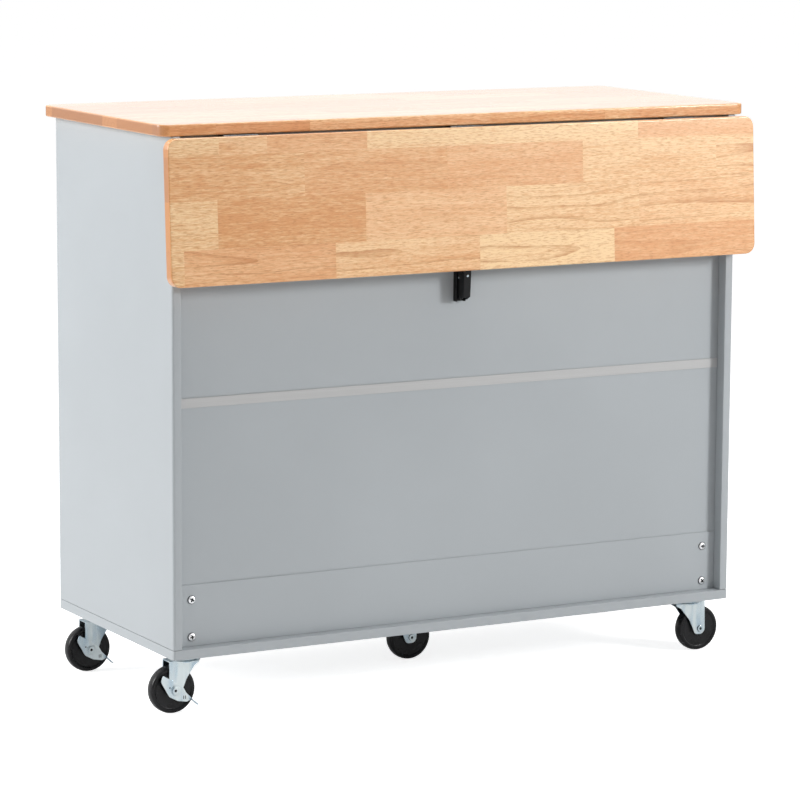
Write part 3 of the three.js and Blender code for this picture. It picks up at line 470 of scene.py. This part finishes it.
# the screws of a wing: how far along it and how far out from the pin, as shares, and their turn
WING_SCREWS = ((-0.36, 0.72, -216), (0, 0.48, 0), (0.36, 0.72, 216))
# the hinge colour is near black: painted shade of the narrow gap under the worktop where the hinges hang
hinge_steel_painted_shade = plated_metal("hinge_steel_painted_shade", (0.13, 0.135, 0.14), 0.4)
# a near black metal that stands for painted shade: it fills screw recesses, bores and pressed marks, and
# rings screw and axle heads as a painted shadow
recess = plated_metal("painted_shade_metal", (0.05, 0.05, 0.055), 0.5)
hinge_screw = screw_head(3.2 * mm, 0.9 * mm, 1.9 * mm, 0.7 * mm, rim=0.2, sides=28)
screw_mesh = bpy.data.meshes.new("hinge_screw")
hinge_screw.to_mesh(screw_mesh)
hinge_screw.free()


def hinge_half(node, under_worktop, where):
    """One wing with its knuckles and three screws, drawn level about the pin."""
    low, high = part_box(f"leaf_hinge_fixed_{where}")
    length = high.x - low.x
    centre = (high.x + low.x) / 2
    side = -1 if under_worktop else 1
    wing = hinge_line.y - low.y
    top = hinge_line.z + KNUCKLE_RADIUS
    root = KNUCKLE_RADIUS + KNUCKLE_GAP
    ys = sorted((hinge_line.y + side * root, hinge_line.y + side * wing))
    shape = bmesh.new()
    plate = bmesh.new()
    extruded(plate, rounded_rectangle(low.x, high.x, *ys, WING_CORNER, 4), top - HINGE_PLATE, top)
    ease(plate, 0.25 * mm)
    joined(shape, plate)
    pitch = length / KNUCKLES
    for k in range(KNUCKLES):
        if (k % 2 == 0) != under_worktop:
            continue
        x = low.x + (k + 0.5) * pitch
        reach = (pitch - KNUCKLE_GAP) / 2
        ring = KNUCKLE_RADIUS
        barrel = turned([(0, -reach), (ring - 0.3 * mm, -reach), (ring, 0.3 * mm - reach),
                         (ring, reach - 0.3 * mm), (ring - 0.3 * mm, reach), (0, reach)], 28)
        joined(shape, barrel, Matrix.Translation((x, hinge_line.y, hinge_line.z)) @ facing((1, 0, 0)))
        tongue = sorted((hinge_line.y, hinge_line.y + side * (root + mm)))
        slab_between(shape, (x - reach, tongue[0], top - HINGE_PLATE), (x + reach, tongue[1], top),
                     0.2 * mm)
    for step, out, spin in WING_SCREWS:
        y = hinge_line.y + side * wing * out
        head = bmesh.new()
        head.from_mesh(screw_mesh)
        joined(shape, head, Matrix.Translation((centre + step * length, y, top - HINGE_PLATE))
               @ facing((0, 0, -1), spin))
    if under_worktop:
        # the pin's riveted ends
        for end in (-1, 1):
            cap = turned([(0, 0), (1.5 * mm, 0), (1.3 * mm, 0.5 * mm), (0, 0.8 * mm)], 20)
            tip = (centre + end * (length / 2 - 0.3 * mm), hinge_line.y, hinge_line.z)
            joined(shape, cap, Matrix.Translation(tip) @ facing((end, 0, 0)))
    else:
        shape.transform(lowered)
    piece(f"{node}_wing", shape, "cabinet" if under_worktop else "leaf", [hinge_steel_painted_shade, recess],
          [node])


for where in ("left", "middle", "right"):
    hinge_half(f"leaf_hinge_fixed_{where}", True, where)
    hinge_half(f"leaf_hinge_moving_{where}", False, where)

# ---------------------------------------------------------------------------------------------
# Cabinet boards: fibreboard cut to size, its corners rounded and its edges broken, sprayed all over
# with a blue-grey satin paint. The sides stand on the floor board, which carries the casters.


def satin_paint(name, colour, roughness):
    """Sprayed paint: a fine orange peel, with slight clouds of tone and sheen."""
    material, tree, surface = shader(name, Specular_IOR_Level=0.4)
    spot = put(tree, "TexCoord").outputs["Object"]
    cloud = noise(tree, scaled(tree, spot, (3, 3, 3)), 3)
    peel = noise(tree, scaled(tree, spot, (620, 620, 620)), 2)
    dust = noise(tree, scaled(tree, spot, (1500, 1500, 1500)), 1)
    light = tuple(c * 1.025 for c in colour) + (1,)
    dark = tuple(c * 0.975 for c in colour) + (1,)
    tone = mixed(tree, spread(tree, cloud, 0.35, 0.65), dark, light)
    tree.links.new(mixed(tree, spread(tree, dust, 0.6, 0.8, 0, 0.12), tone, dark),
                   surface.inputs["Base Color"])
    tree.links.new(spread(tree, cloud, 0.3, 0.7, roughness - 0.03, roughness + 0.04),
                   surface.inputs["Roughness"])
    bump = put(tree, "Bump", Strength=0.08, Distance=0.0003, Height=peel)
    tree.links.new(bump.outputs[0], surface.inputs["Normal"])
    return material


def packed_shape(node):
    """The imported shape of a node, with one face for each flat."""
    shape = bmesh.new()
    shape.from_mesh(frame["nodes"][node].data)
    bmesh.ops.remove_doubles(shape, verts=shape.verts, dist=0.001 * mm)
    bmesh.ops.dissolve_limit(shape, angle_limit=math.radians(1), verts=shape.verts, edges=shape.edges)
    return shape


def eased_board(node, material, body="cabinet", broken=0.8 * mm, crease=30):
    """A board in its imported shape, its sharp edges broken."""
    shape = packed_shape(node)
    ease(shape, broken)
    return piece(f"{node}_eased", shape, body, material, [node], crease)


paint = satin_paint("blue_grey_paint", (0.435, 0.465, 0.486), 0.42)
for board in ("bottom_board", "stretcher_front", "stretcher_back", "partition", "drawer_deck_left",
              "drawer_deck_right", "shelf_left", "shelf_right"):
    eased_board(board, paint)
for side in ("side_left", "side_right"):
    eased_board(side, paint, broken=1.3 * mm)

# ---------------------------------------------------------------------------------------------
# Back: two thin painted panels in grooves in the sides, with a grey plastic strip where they meet,
# and a rail across the foot, held by four pan-head screws that bite into softwood blocks behind it.

for panel in ("back_panel_upper", "back_panel_lower"):
    eased_board(panel, paint, broken=0.3 * mm)
eased_board("back_rail", paint, broken=0.9 * mm)


def grey_plastic(name, colour):
    """Extruded plastic with fine die lines along it."""
    material, tree, surface = shader(name, Specular_IOR_Level=0.5)
    spot = put(tree, "TexCoord").outputs["Object"]
    lines = noise(tree, scaled(tree, spot, (2, 900, 900)), 2)
    shade = tuple(c * 0.95 for c in colour) + (1,)
    tree.links.new(mixed(tree, spread(tree, lines, 0.35, 0.65), shade, (*colour, 1)),
                   surface.inputs["Base Color"])
    tree.links.new(spread(tree, lines, 0.3, 0.7, 0.34, 0.42), surface.inputs["Roughness"])
    bump = put(tree, "Bump", Strength=0.06, Distance=0.0002, Height=lines)
    tree.links.new(bump.outputs[0], surface.inputs["Normal"])
    return material


strip_plastic = grey_plastic("strip_plastic", (0.52, 0.522, 0.522))
eased_board("joining_strip", strip_plastic, broken=0.25 * mm)


def bare_wood(name, pale, dark, fineness, roughness):
    """Unfinished wood. The fineness is how often its grain changes along x, y and z, per metre."""
    material, tree, surface = shader(name, Roughness=roughness)
    spot = put(tree, "TexCoord").outputs["Object"]
    grain = noise(tree, scaled(tree, spot, fineness), 3)
    pores = noise(tree, scaled(tree, spot, tuple(6 * f for f in fineness)), 2)
    colour = mixed(tree, spread(tree, grain, 0.3, 0.7), (*pale, 1), (*dark, 1))
    tree.links.new(mixed(tree, spread(tree, pores, 0.6, 0.75, 0, 0.3), colour, (*dark, 1)),
                   surface.inputs["Base Color"])
    bump = put(tree, "Bump", Strength=0.3, Distance=0.0004, Height=grain)
    tree.links.new(bump.outputs[0], surface.inputs["Normal"])
    return material


pine = bare_wood("sawn_softwood", (0.72, 0.53, 0.32), (0.52, 0.34, 0.18), (160, 160, 9), 0.75)
for where in ("left", "right"):
    eased_board(f"corner_block_{where}", pine)

nickel = plated_metal("nickel_plate", (0.92, 0.93, 0.94), 0.36, banding=0.1)
SHANK_RADIUS = 2.2 * mm
HEAD_HEIGHT = 3.2 * mm
CROSS_REACH = 4.3 * mm
CROSS_DEPTH = 1.9 * mm
THREAD_TURNS = 12
# the turn at which each screw came to rest, in degrees
RAIL_SCREWS = {"left_lower": 12, "left_upper": -31, "right_lower": 40, "right_upper": 3}
for where, spin in RAIL_SCREWS.items():
    node = f"rail_screw_{where}"
    low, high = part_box(node)
    radius = (high.x - low.x) / 2
    shank = high.y - low.y - HEAD_HEIGHT
    screw = screw_head(radius, HEAD_HEIGHT, CROSS_REACH, CROSS_DEPTH, rim=0.45, sides=56)
    thread = [(0, -shank), (0.4 * mm, -shank)]
    for k in range(THREAD_TURNS):
        z = (3 * mm - shank) * (1 - k / THREAD_TURNS) - 1.5 * mm
        thread += [(SHANK_RADIUS * 0.75, z - 0.5 * mm), (SHANK_RADIUS, z)]
    thread += [(SHANK_RADIUS * 0.8, -mm), (SHANK_RADIUS * 0.8, 0), (0, 0)]
    joined(screw, turned(thread, 20))
    place = Matrix.Translation(((high.x + low.x) / 2, high.y - HEAD_HEIGHT, (high.z + low.z) / 2))
    screw.transform(place @ facing((0, 1, 0), spin))
    piece(f"{node}_panhead", screw, "cabinet", [nickel, recess], [node])

# ---------------------------------------------------------------------------------------------
# Folding bracket: a wall leg, an arm and a strut folded from steel strip and powder coated black,
# joined by a pin and a bright rivet, with the leg screwed to the upper back panel.


def black_coat(name, colour, roughness):
    """Powder coat: a fine pebble, glossier where it is thick."""
    material, tree, surface = shader(name, Specular_IOR_Level=0.22)
    spot = put(tree, "TexCoord").outputs["Object"]
    pebble = noise(tree, scaled(tree, spot, (1400, 1400, 1400)), 2)
    worn = noise(tree, scaled(tree, spot, (120, 120, 120)), 3)
    lighter = tuple(c * 1.8 for c in colour) + (1,)
    tree.links.new(mixed(tree, spread(tree, worn, 0.45, 0.8, 0, 0.5), (*colour, 1), lighter),
                   surface.inputs["Base Color"])
    tree.links.new(spread(tree, worn, 0.3, 0.7, roughness - 0.06, roughness + 0.1),
                   surface.inputs["Roughness"])
    bump = put(tree, "Bump", Strength=0.18, Distance=0.0002, Height=pebble)
    tree.links.new(bump.outputs[0], surface.inputs["Normal"])
    return material


black_steel = black_coat("black_powder_coat", (0.005, 0.0052, 0.006), 0.32)
bright_zinc = plated_metal("bright_zinc", (0.6, 0.68, 0.72), 0.27, brushing=0.03)
eased_board("bracket_wall_leg", black_steel, broken=0.3 * mm)
eased_board("bracket_arm", black_steel, body="arm", broken=0.3 * mm)
eased_board("bracket_strut", black_steel, body="strut", broken=0.3 * mm)


def rivet_dome(radius, height):
    """The closed head of a rivet, on z = 0."""
    return turned([(0, 0), (radius, 0), (radius, 0.3 * height), (0.85 * radius, 0.65 * height),
                   (0.5 * radius, 0.92 * height), (0, height)], 28)


# three rivets near the strut's foot, one in each cheek and one in the web: each place is so far down
# the strut from its pivot, and so far out from the wall
STRUT_LEAN = math.radians(3.7)
CHEEK_RIVET = (126.5 * mm, 4.3 * mm)
WEB_RIVET = (121 * mm, 20.95 * mm)
strut_pivot = Vector(next(j for j in frame["joints"] if j["name"] == "strut_pivot")["pos_m"])
down = Vector((0, -math.sin(STRUT_LEAN), -math.cos(STRUT_LEAN)))
outwards = Vector((0, math.cos(STRUT_LEAN), -math.sin(STRUT_LEAN)))
strut_low, strut_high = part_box("bracket_strut")
rivets = bmesh.new()
for side, edge in ((-1, strut_low.x), (1, strut_high.x)):
    cheek = strut_pivot + CHEEK_RIVET[0] * down + CHEEK_RIVET[1] * outwards
    cheek.x = edge - side * 0.05 * mm
    joined(rivets, rivet_dome(1.6 * mm, 0.8 * mm), Matrix.Translation(cheek) @ facing((side, 0, 0)))
web = strut_pivot + WEB_RIVET[0] * down + WEB_RIVET[1] * outwards
joined(rivets, rivet_dome(1.9 * mm, 0.9 * mm), Matrix.Translation(web) @ facing(outwards))
piece("strut_foot_rivets", rivets, "strut", bright_zinc)

# two pan-head screws hold the wall leg to the panel: each has its height on the leg and its turn
LEG_METAL = 1.5 * mm
LEG_SCREWS = ((52 * mm, 25), (214 * mm, 65))
leg_low, leg_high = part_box("bracket_wall_leg")
for count, (height, spin) in enumerate(LEG_SCREWS, 1):
    head = screw_head(3 * mm, 1.3 * mm, 1.7 * mm, 0.8 * mm, rim=0.3, sides=32)
    seat = ((leg_low.x + leg_high.x) / 2, leg_low.y + LEG_METAL, leg_low.z + height)
    head.transform(Matrix.Translation(seat) @ facing((0, 1, 0), spin))
    piece(f"wall_leg_screw_{count}", head, "cabinet", [nickel, recess])

# ---------------------------------------------------------------------------------------------
# Doors and drawers: painted fronts with a sunk field, hung on pivot pins or glued to an open wood
# box, and a turned knob of satin nickel on each.


def knob_on(name, node, body):
    """A mushroom knob that points to the front, turned from solid bar."""
    low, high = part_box(node)
    wide = (high.x - low.x) / 2
    long = high.y - low.y
    profile = [(0, 0), (0.46 * wide, 0), (0.46 * wide, 1.2 * mm), (0.4 * wide, 2 * mm),
               (0.34 * wide, 0.25 * long), (0.36 * wide, 0.42 * long), (0.5 * wide, 0.54 * long),
               (0.86 * wide, 0.62 * long), (0.97 * wide, 0.68 * long), (wide, 0.75 * long),
               (0.99 * wide, 0.84 * long), (0.94 * wide, 0.91 * long), (0.84 * wide, 0.96 * long),
               (0.6 * wide, 0.985 * long), (0, long)]
    shape = turned(profile, 56)
    centre = Vector(((low.x + high.x) / 2, high.y, (low.z + high.z) / 2))
    shape.transform(Matrix.Translation(centre) @ facing((0, -1, 0)))
    piece(name, shape, body, satin_nickel, [node], crease=45)


satin_nickel = plated_metal("satin_nickel", (0.74, 0.73, 0.7), 0.3, banding=0.2)
for where, body in (("left", "door_l"), ("right", "door_r")):
    eased_board(f"door_{where}", paint, body=body, broken=mm)
    knob_on(f"door_knob_{where}_turned", f"door_knob_{where}", body)
    for level in ("lower", "upper"):
        eased_board(f"door_pivot_{where}_{level}", bright_zinc, broken=0.2 * mm, crease=40)

birch = bare_wood("planed_birch", (0.82, 0.66, 0.45), (0.7, 0.52, 0.32), (14, 14, 170), 0.6)
FRONT_THICKNESS = 15 * mm
HALF_GLUE_LINE = 0.05 * mm


def cut_off(node, plane_y, front):
    """The part of a node's shape that lies in front of a plane across it, or behind it."""
    shape = packed_shape(node)
    everything = shape.verts[:] + shape.edges[:] + shape.faces[:]
    bmesh.ops.bisect_plane(shape, geom=everything, plane_co=(0, plane_y, 0), plane_no=(0, 1, 0),
                           clear_outer=front, clear_inner=not front)
    bmesh.ops.holes_fill(shape, edges=[e for e in shape.edges if e.is_boundary])
    return shape


for where, body in (("left", "drawer_l"), ("right", "drawer_r")):
    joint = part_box(f"drawer_{where}")[0].y + FRONT_THICKNESS
    face = cut_off(f"drawer_{where}", joint - HALF_GLUE_LINE, True)
    ease(face, mm)
    piece(f"drawer_{where}_front", face, body, paint, [f"drawer_{where}"])
    tray = cut_off(f"drawer_{where}", joint + HALF_GLUE_LINE, False)
    ease(tray, 0.6 * mm)
    piece(f"drawer_{where}_box", tray, body, birch, [f"drawer_{where}"])
    knob_on(f"drawer_knob_{where}_turned", f"drawer_knob_{where}", body)

# ---------------------------------------------------------------------------------------------
# Casters: a zinc plate screwed under the floor board, a pressed fork that turns on a kingpin, and a
# hard black rubber wheel on a riveted axle. Two have a brake lever that pivots on the axle.


def black_rubber(name, colour):
    """Hard moulded rubber with a dull bloom and fine turning marks."""
    material, tree, surface = shader(name, Specular_IOR_Level=0.3)
    spot = put(tree, "TexCoord").outputs["Object"]
    bloom = noise(tree, scaled(tree, spot, (70, 70, 70)), 3)
    grit = noise(tree, scaled(tree, spot, (1800, 1800, 1800)), 2)
    lighter = tuple(c * 2 for c in colour) + (1,)
    tree.links.new(mixed(tree, spread(tree, bloom, 0.4, 0.75, 0, 0.6), (*colour, 1), lighter),
                   surface.inputs["Base Color"])
    tree.links.new(spread(tree, bloom, 0.3, 0.7, 0.24, 0.34), surface.inputs["Roughness"])
    bump = put(tree, "Bump", Strength=0.1, Distance=0.0002, Height=grit)
    tree.links.new(bump.outputs[0], surface.inputs["Normal"])
    return material


rubber = black_rubber("hard_black_rubber", (0.006, 0.006, 0.007))
# each caster, and whether it has a brake
CASTERS = {"back_left": True, "front_left": True, "middle": False, "back_right": False,
           "front_right": False}
TYRE_WIDTH = 18 * mm
HUB_RADIUS = 12 * mm
AXLE_RADIUS = 4.3 * mm


def wheel_on(where):
    """A crowned wheel with a raised rim on each face and a plain hub."""
    low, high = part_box(f"caster_wheel_{where}")
    radius = (high.z - low.z) / 2
    hub = (high.y - low.y) / 2
    edge = TYRE_WIDTH / 2
    shoulder = [(radius - 0.6 * mm - 3.4 * mm * (1 - math.cos(a)), edge - 4 * mm + 4 * mm * math.sin(a))
                for a in (math.pi / 2 * k / 6 for k in range(7))]
    rim = [(radius - 6 * mm, edge), (radius - 6.6 * mm, edge - 0.4 * mm),
           (radius - 7.4 * mm, edge - 1.4 * mm), (radius - 8.4 * mm, edge - 1.8 * mm)]
    boss = [(HUB_RADIUS + 2.5 * mm, edge - 2 * mm), (HUB_RADIUS + 0.8 * mm, edge - 1.6 * mm),
            (HUB_RADIUS, edge - 0.8 * mm), (HUB_RADIUS, hub - 0.5 * mm), (HUB_RADIUS - 0.5 * mm, hub),
            (AXLE_RADIUS, hub)]
    half = [(radius, 0), (radius - 0.15 * mm, 3.5 * mm), *shoulder, *rim, *boss]
    profile = [(r, -h) for r, h in reversed(half[1:])] + half
    shape = turned([*profile, profile[0]], 72)
    centre = (low + high) / 2
    shape.transform(Matrix.Translation(centre) @ facing((0, 1, 0)))
    piece(f"wheel_{where}_tyre", shape, f"wheel_{where}", rubber, [f"caster_wheel_{where}"])


# the axle is a hollow rivet: how far its heads reach at most, how thick they are, and the radius and
# height of each corner of the bore in them
AXLE_HEAD = 6.3 * mm
HEAD_THICKNESS = 1.8 * mm
BORE = ((0, -1.4 * mm), (1.6 * mm, -1.4 * mm), (2.1 * mm, -0.3 * mm), (2.8 * mm, 0.4 * mm), (0, 0.4 * mm))
# from the wheel's middle plane to the outside of the brake lever
LEVER_FACE = 15.1 * mm
# the cheeks are folded inwards so far ahead of the axle
FOLD_AHEAD = 14 * mm


def fork_on(where):
    """The pressed fork with its race and its axle, whose bores and clear rims are painted dark as painted
    shade.
    """
    node = f"caster_fork_{where}"
    shape = packed_shape(node)
    ease(shape, 0.45 * mm)
    low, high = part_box(node)
    wheel_low, wheel_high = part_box(f"caster_wheel_{where}")
    axle = (wheel_low + wheel_high) / 2
    ends = [v.co.y for v in shape.verts if math.hypot(v.co.x - axle.x, v.co.z - axle.z) < AXLE_HEAD]
    for face, out in ((min(ends), -1), (max(ends), 1)):
        bore = turned(BORE, 32)
        bore.transform(Matrix.Translation((axle.x, face, axle.z)) @ facing((0, out, 0)))
        shape = less(shape, bore)
        shape.normal_update()
        for side in shape.faces:
            centre = side.calc_center_median()
            away = math.hypot(centre.x - axle.x, centre.z - axle.z)
            in_head = away < AXLE_HEAD and 0.05 * mm < abs(centre.y - face) < HEAD_THICKNESS - 0.1 * mm
            clear_of_lever = abs(face - axle.y) < LEVER_FACE
            # bores, and the rims of axle heads that no lever covers, take the dark metal as painted shade
            if in_head and (away < 2.2 * mm or clear_of_lever and abs(side.normal.y) < 0.6):
                side.material_index = 1
    made = piece(f"{node}_pressed", shape, f"fork_{where}", [bright_zinc, recess], [node])
    ahead = 1 if axle.x < (low.x + high.x) / 2 else -1
    fold = axle.x + ahead * FOLD_AHEAD
    for edge in made.data.edges:
        if all(abs(made.data.vertices[k].co.x - fold) < 0.3 * mm for k in edge.vertices):
            edge.use_edge_sharp = True


PLATE_METAL = 2.5 * mm
BOLT_INSET = 7 * mm


def plate_on(where):
    """The mounting plate and kingpin, with four bolt heads and washers under its corners."""
    node = f"caster_plate_{where}"
    shape = packed_shape(node)
    ease(shape, 0.5 * mm)
    low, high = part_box(node)
    middle = (low + high) / 2
    under = high.z - PLATE_METAL
    out = (high.x - low.x) / 2 - BOLT_INSET
    for x, y, turn in ((-out, -out, 8), (-out, out, 23), (out, -out, 41), (out, out, 3)):
        place = Matrix.Translation((middle.x + x, middle.y + y, under)) @ facing((0, 0, -1), turn)
        joined(shape, turned([(0, 0), (4.6 * mm, 0), (4.5 * mm, 0.6 * mm), (0, 0.6 * mm)], 32), place)
        joined(shape, turned([(0, 0.5 * mm), (3.7 * mm, 0.5 * mm), (3.7 * mm, 2.4 * mm),
                              (3.2 * mm, 2.8 * mm), (0, 2.8 * mm)], 6), place)
    piece(f"{node}_bolted", shape, "cabinet", bright_zinc, [node])


# the marks pressed into a lever, each so far along from the axle and so far below it
LEVER_DENTS = ((14.6 * mm, -7.8 * mm), (9.2 * mm, -5.3 * mm))
LEVER_SLOTS = ((-17.2 * mm, 12 * mm), (-14.2 * mm, 12 * mm))
TIP_START = 15 * mm
TIP_LEAN = 0.13


def lever_on(where):
    """The brake lever: a boss pressed up about the axle, two short slots, two dents and a bent tip."""
    node = f"brake_lever_{where}"
    shape = packed_shape(node)
    ease(shape, 0.4 * mm)
    wheel_low, wheel_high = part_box(f"caster_wheel_{where}")
    axle = (wheel_low + wheel_high) / 2
    for vert in shape.verts:
        beyond = vert.co.x - axle.x - TIP_START
        if beyond > 0:
            vert.co.y += TIP_LEAN * beyond
    level = Matrix.Translation((axle.x, axle.y + LEVER_FACE, axle.z)) @ facing((0, 1, 0))
    marks = []
    for along, below in LEVER_DENTS:
        dent = turned([(0, -0.7 * mm), (0.9 * mm, -0.5 * mm), (1.3 * mm, 0.5 * mm), (0, 0.5 * mm)], 20)
        marks.append((dent, level @ Matrix.Translation((along, below, 0))))
    for along, below in LEVER_SLOTS:
        slot = bmesh.new()
        extruded(slot, rounded_rectangle(-0.6 * mm, 0.6 * mm, -2.8 * mm, 2.8 * mm, 0.55 * mm, 4),
                 -0.7 * mm, 0.5 * mm)
        marks.append((slot, level @ Matrix.Translation((along, below, 0))))
    for mark, place in marks:
        mark.transform(place)
        shape = less(shape, mark)
    # faces sunk into the lever near the slots and dents take the dark second material: painted shade in the
    # marks
    for side in shape.faces:
        centre = side.calc_center_median()
        if -0.75 * mm < centre.y - axle.y - LEVER_FACE < -0.05 * mm:
            near = min((centre - place.translation).length for _, place in marks)
            side.material_index = int(near < 3 * mm)
    boss = [(6.3 * mm, -0.1 * mm), (6.3 * mm, 0.7 * mm), (6.6 * mm, 0.9 * mm), (7.4 * mm, 0.8 * mm),
            (8.3 * mm, -0.1 * mm), (6.3 * mm, -0.1 * mm)]
    joined(shape, turned(boss, 44), level)
    piece(f"{node}_pressed", shape, f"lever_{where}", [bright_zinc, recess], [node])


for where, braked in CASTERS.items():
    wheel_on(where)
    plate_on(where)
    fork_on(where)
    if braked:
        lever_on(where)

# ---------------------------------------------------------------------------------------------
# Room: a wide pale floor that runs into a white surround, three soft studio lamps, and an even light
# from all round that shines back brighter from the side away from the camera.

FLOOR_REACH = 30
floor_shape = bmesh.new()
bmesh.ops.create_grid(floor_shape, x_segments=1, y_segments=1, size=FLOOR_REACH)
floor_mesh = bpy.data.meshes.new("floor")
floor_shape.to_mesh(floor_mesh)
floor_shape.free()
floor = bpy.data.objects.new("floor", floor_mesh)
bpy.context.scene.collection.objects.link(floor)

white = bpy.data.materials.new("white_floor")
white.use_nodes = True
tree = white.node_tree
tree.nodes.clear()
seen = put(tree, "LightPath").outputs
matt = put(tree, "BsdfDiffuse", Color=(0.8, 0.8, 0.8, 1))
lift = calc(tree, "ADD", calc(tree, "MULTIPLY", seen["Is Camera Ray"], 0.8),
            calc(tree, "MULTIPLY", seen["Is Glossy Ray"], 0.15))
glow = put(tree, "Emission", Color=(1, 1, 1, 1), Strength=lift)
both = put(tree, "AddShader", _0=matt.outputs[0], _1=glow.outputs[0])
put(tree, "OutputMaterial", Surface=both.outputs[0])
floor.data.materials.append(white)

world = bpy.data.worlds.new("studio")
bpy.context.scene.world = world
world.use_nodes = True
tree = world.node_tree
seen = put(tree, "LightPath").outputs
direct = calc(tree, "MAXIMUM", seen["Is Camera Ray"], seen["Is Transmission Ray"])
AMBIENT = 0.25
CAMERA_SIDE = (0.48, 0.88, 0)
around = put(tree, "TexCoord").outputs["Generated"]
towards_camera = put(tree, "VectorMath", {"operation": "DOT_PRODUCT"}, _0=around, _1=CAMERA_SIDE)
mirrored = spread(tree, towards_camera.outputs["Value"], -0.2, 0.8, 1.0, 0.5)
strength = calc(tree, "ADD", spread(tree, direct, 0, 1, AMBIENT, 1),
                calc(tree, "MULTIPLY", seen["Is Glossy Ray"], calc(tree, "SUBTRACT", mirrored, AMBIENT)))
sky = tree.nodes["Background"]
sky.inputs["Color"].default_value = (1, 1, 1, 1)
tree.links.new(strength, sky.inputs["Strength"])


def lamp(name, place, aim, size, power):
    """A round soft lamp that points at a place."""
    data = bpy.data.lights.new(name, "AREA")
    data.shape = "DISK"
    data.size = size
    data.energy = power
    made = bpy.data.objects.new(name, data)
    made.location = place
    made.rotation_euler = (Vector(aim) - Vector(place)).to_track_quat("-Z", "Y").to_euler()
    bpy.context.scene.collection.objects.link(made)


lamp("lamp_end", (4.0, -1.2, 1.9), (0.5, 0, 0.45), 2.0, 146)
lamp("lamp_back", (-2.3, 2.9, 1.6), (0, 0.2, 0.45), 0.8, 69)
lamp("lamp_over", (0.0, 0.1, 3.4), (0, 0, 0.9), 2.6, 60)

# ---------------------------------------------------------------------------------------------
# Camera: at the photograph's angle, from behind the island and towards its braked end, far enough
# away that the island's lines stay nearly parallel.

PLACE = (2.805, 5.144, 1.351)
HEADING = math.radians(28.62)
PITCH = math.radians(8.92)
ROLL = math.radians(0.29)
LENS = 164.85
camera_data = bpy.data.cameras.new("camera")
camera_data.lens = LENS
camera_data.sensor_width = 36
camera_data.clip_end = 100
camera = bpy.data.objects.new("camera", camera_data)
bpy.context.scene.collection.objects.link(camera)
camera.matrix_world = (Matrix.Translation(PLACE) @ Matrix.Rotation(math.pi - HEADING, 4, "Z")
                       @ Matrix.Rotation(math.pi / 2 - PITCH, 4, "X") @ Matrix.Rotation(ROLL, 4, "Z"))
bpy.context.scene.camera = camera
bpy.context.scene.view_settings.view_transform = "Standard"
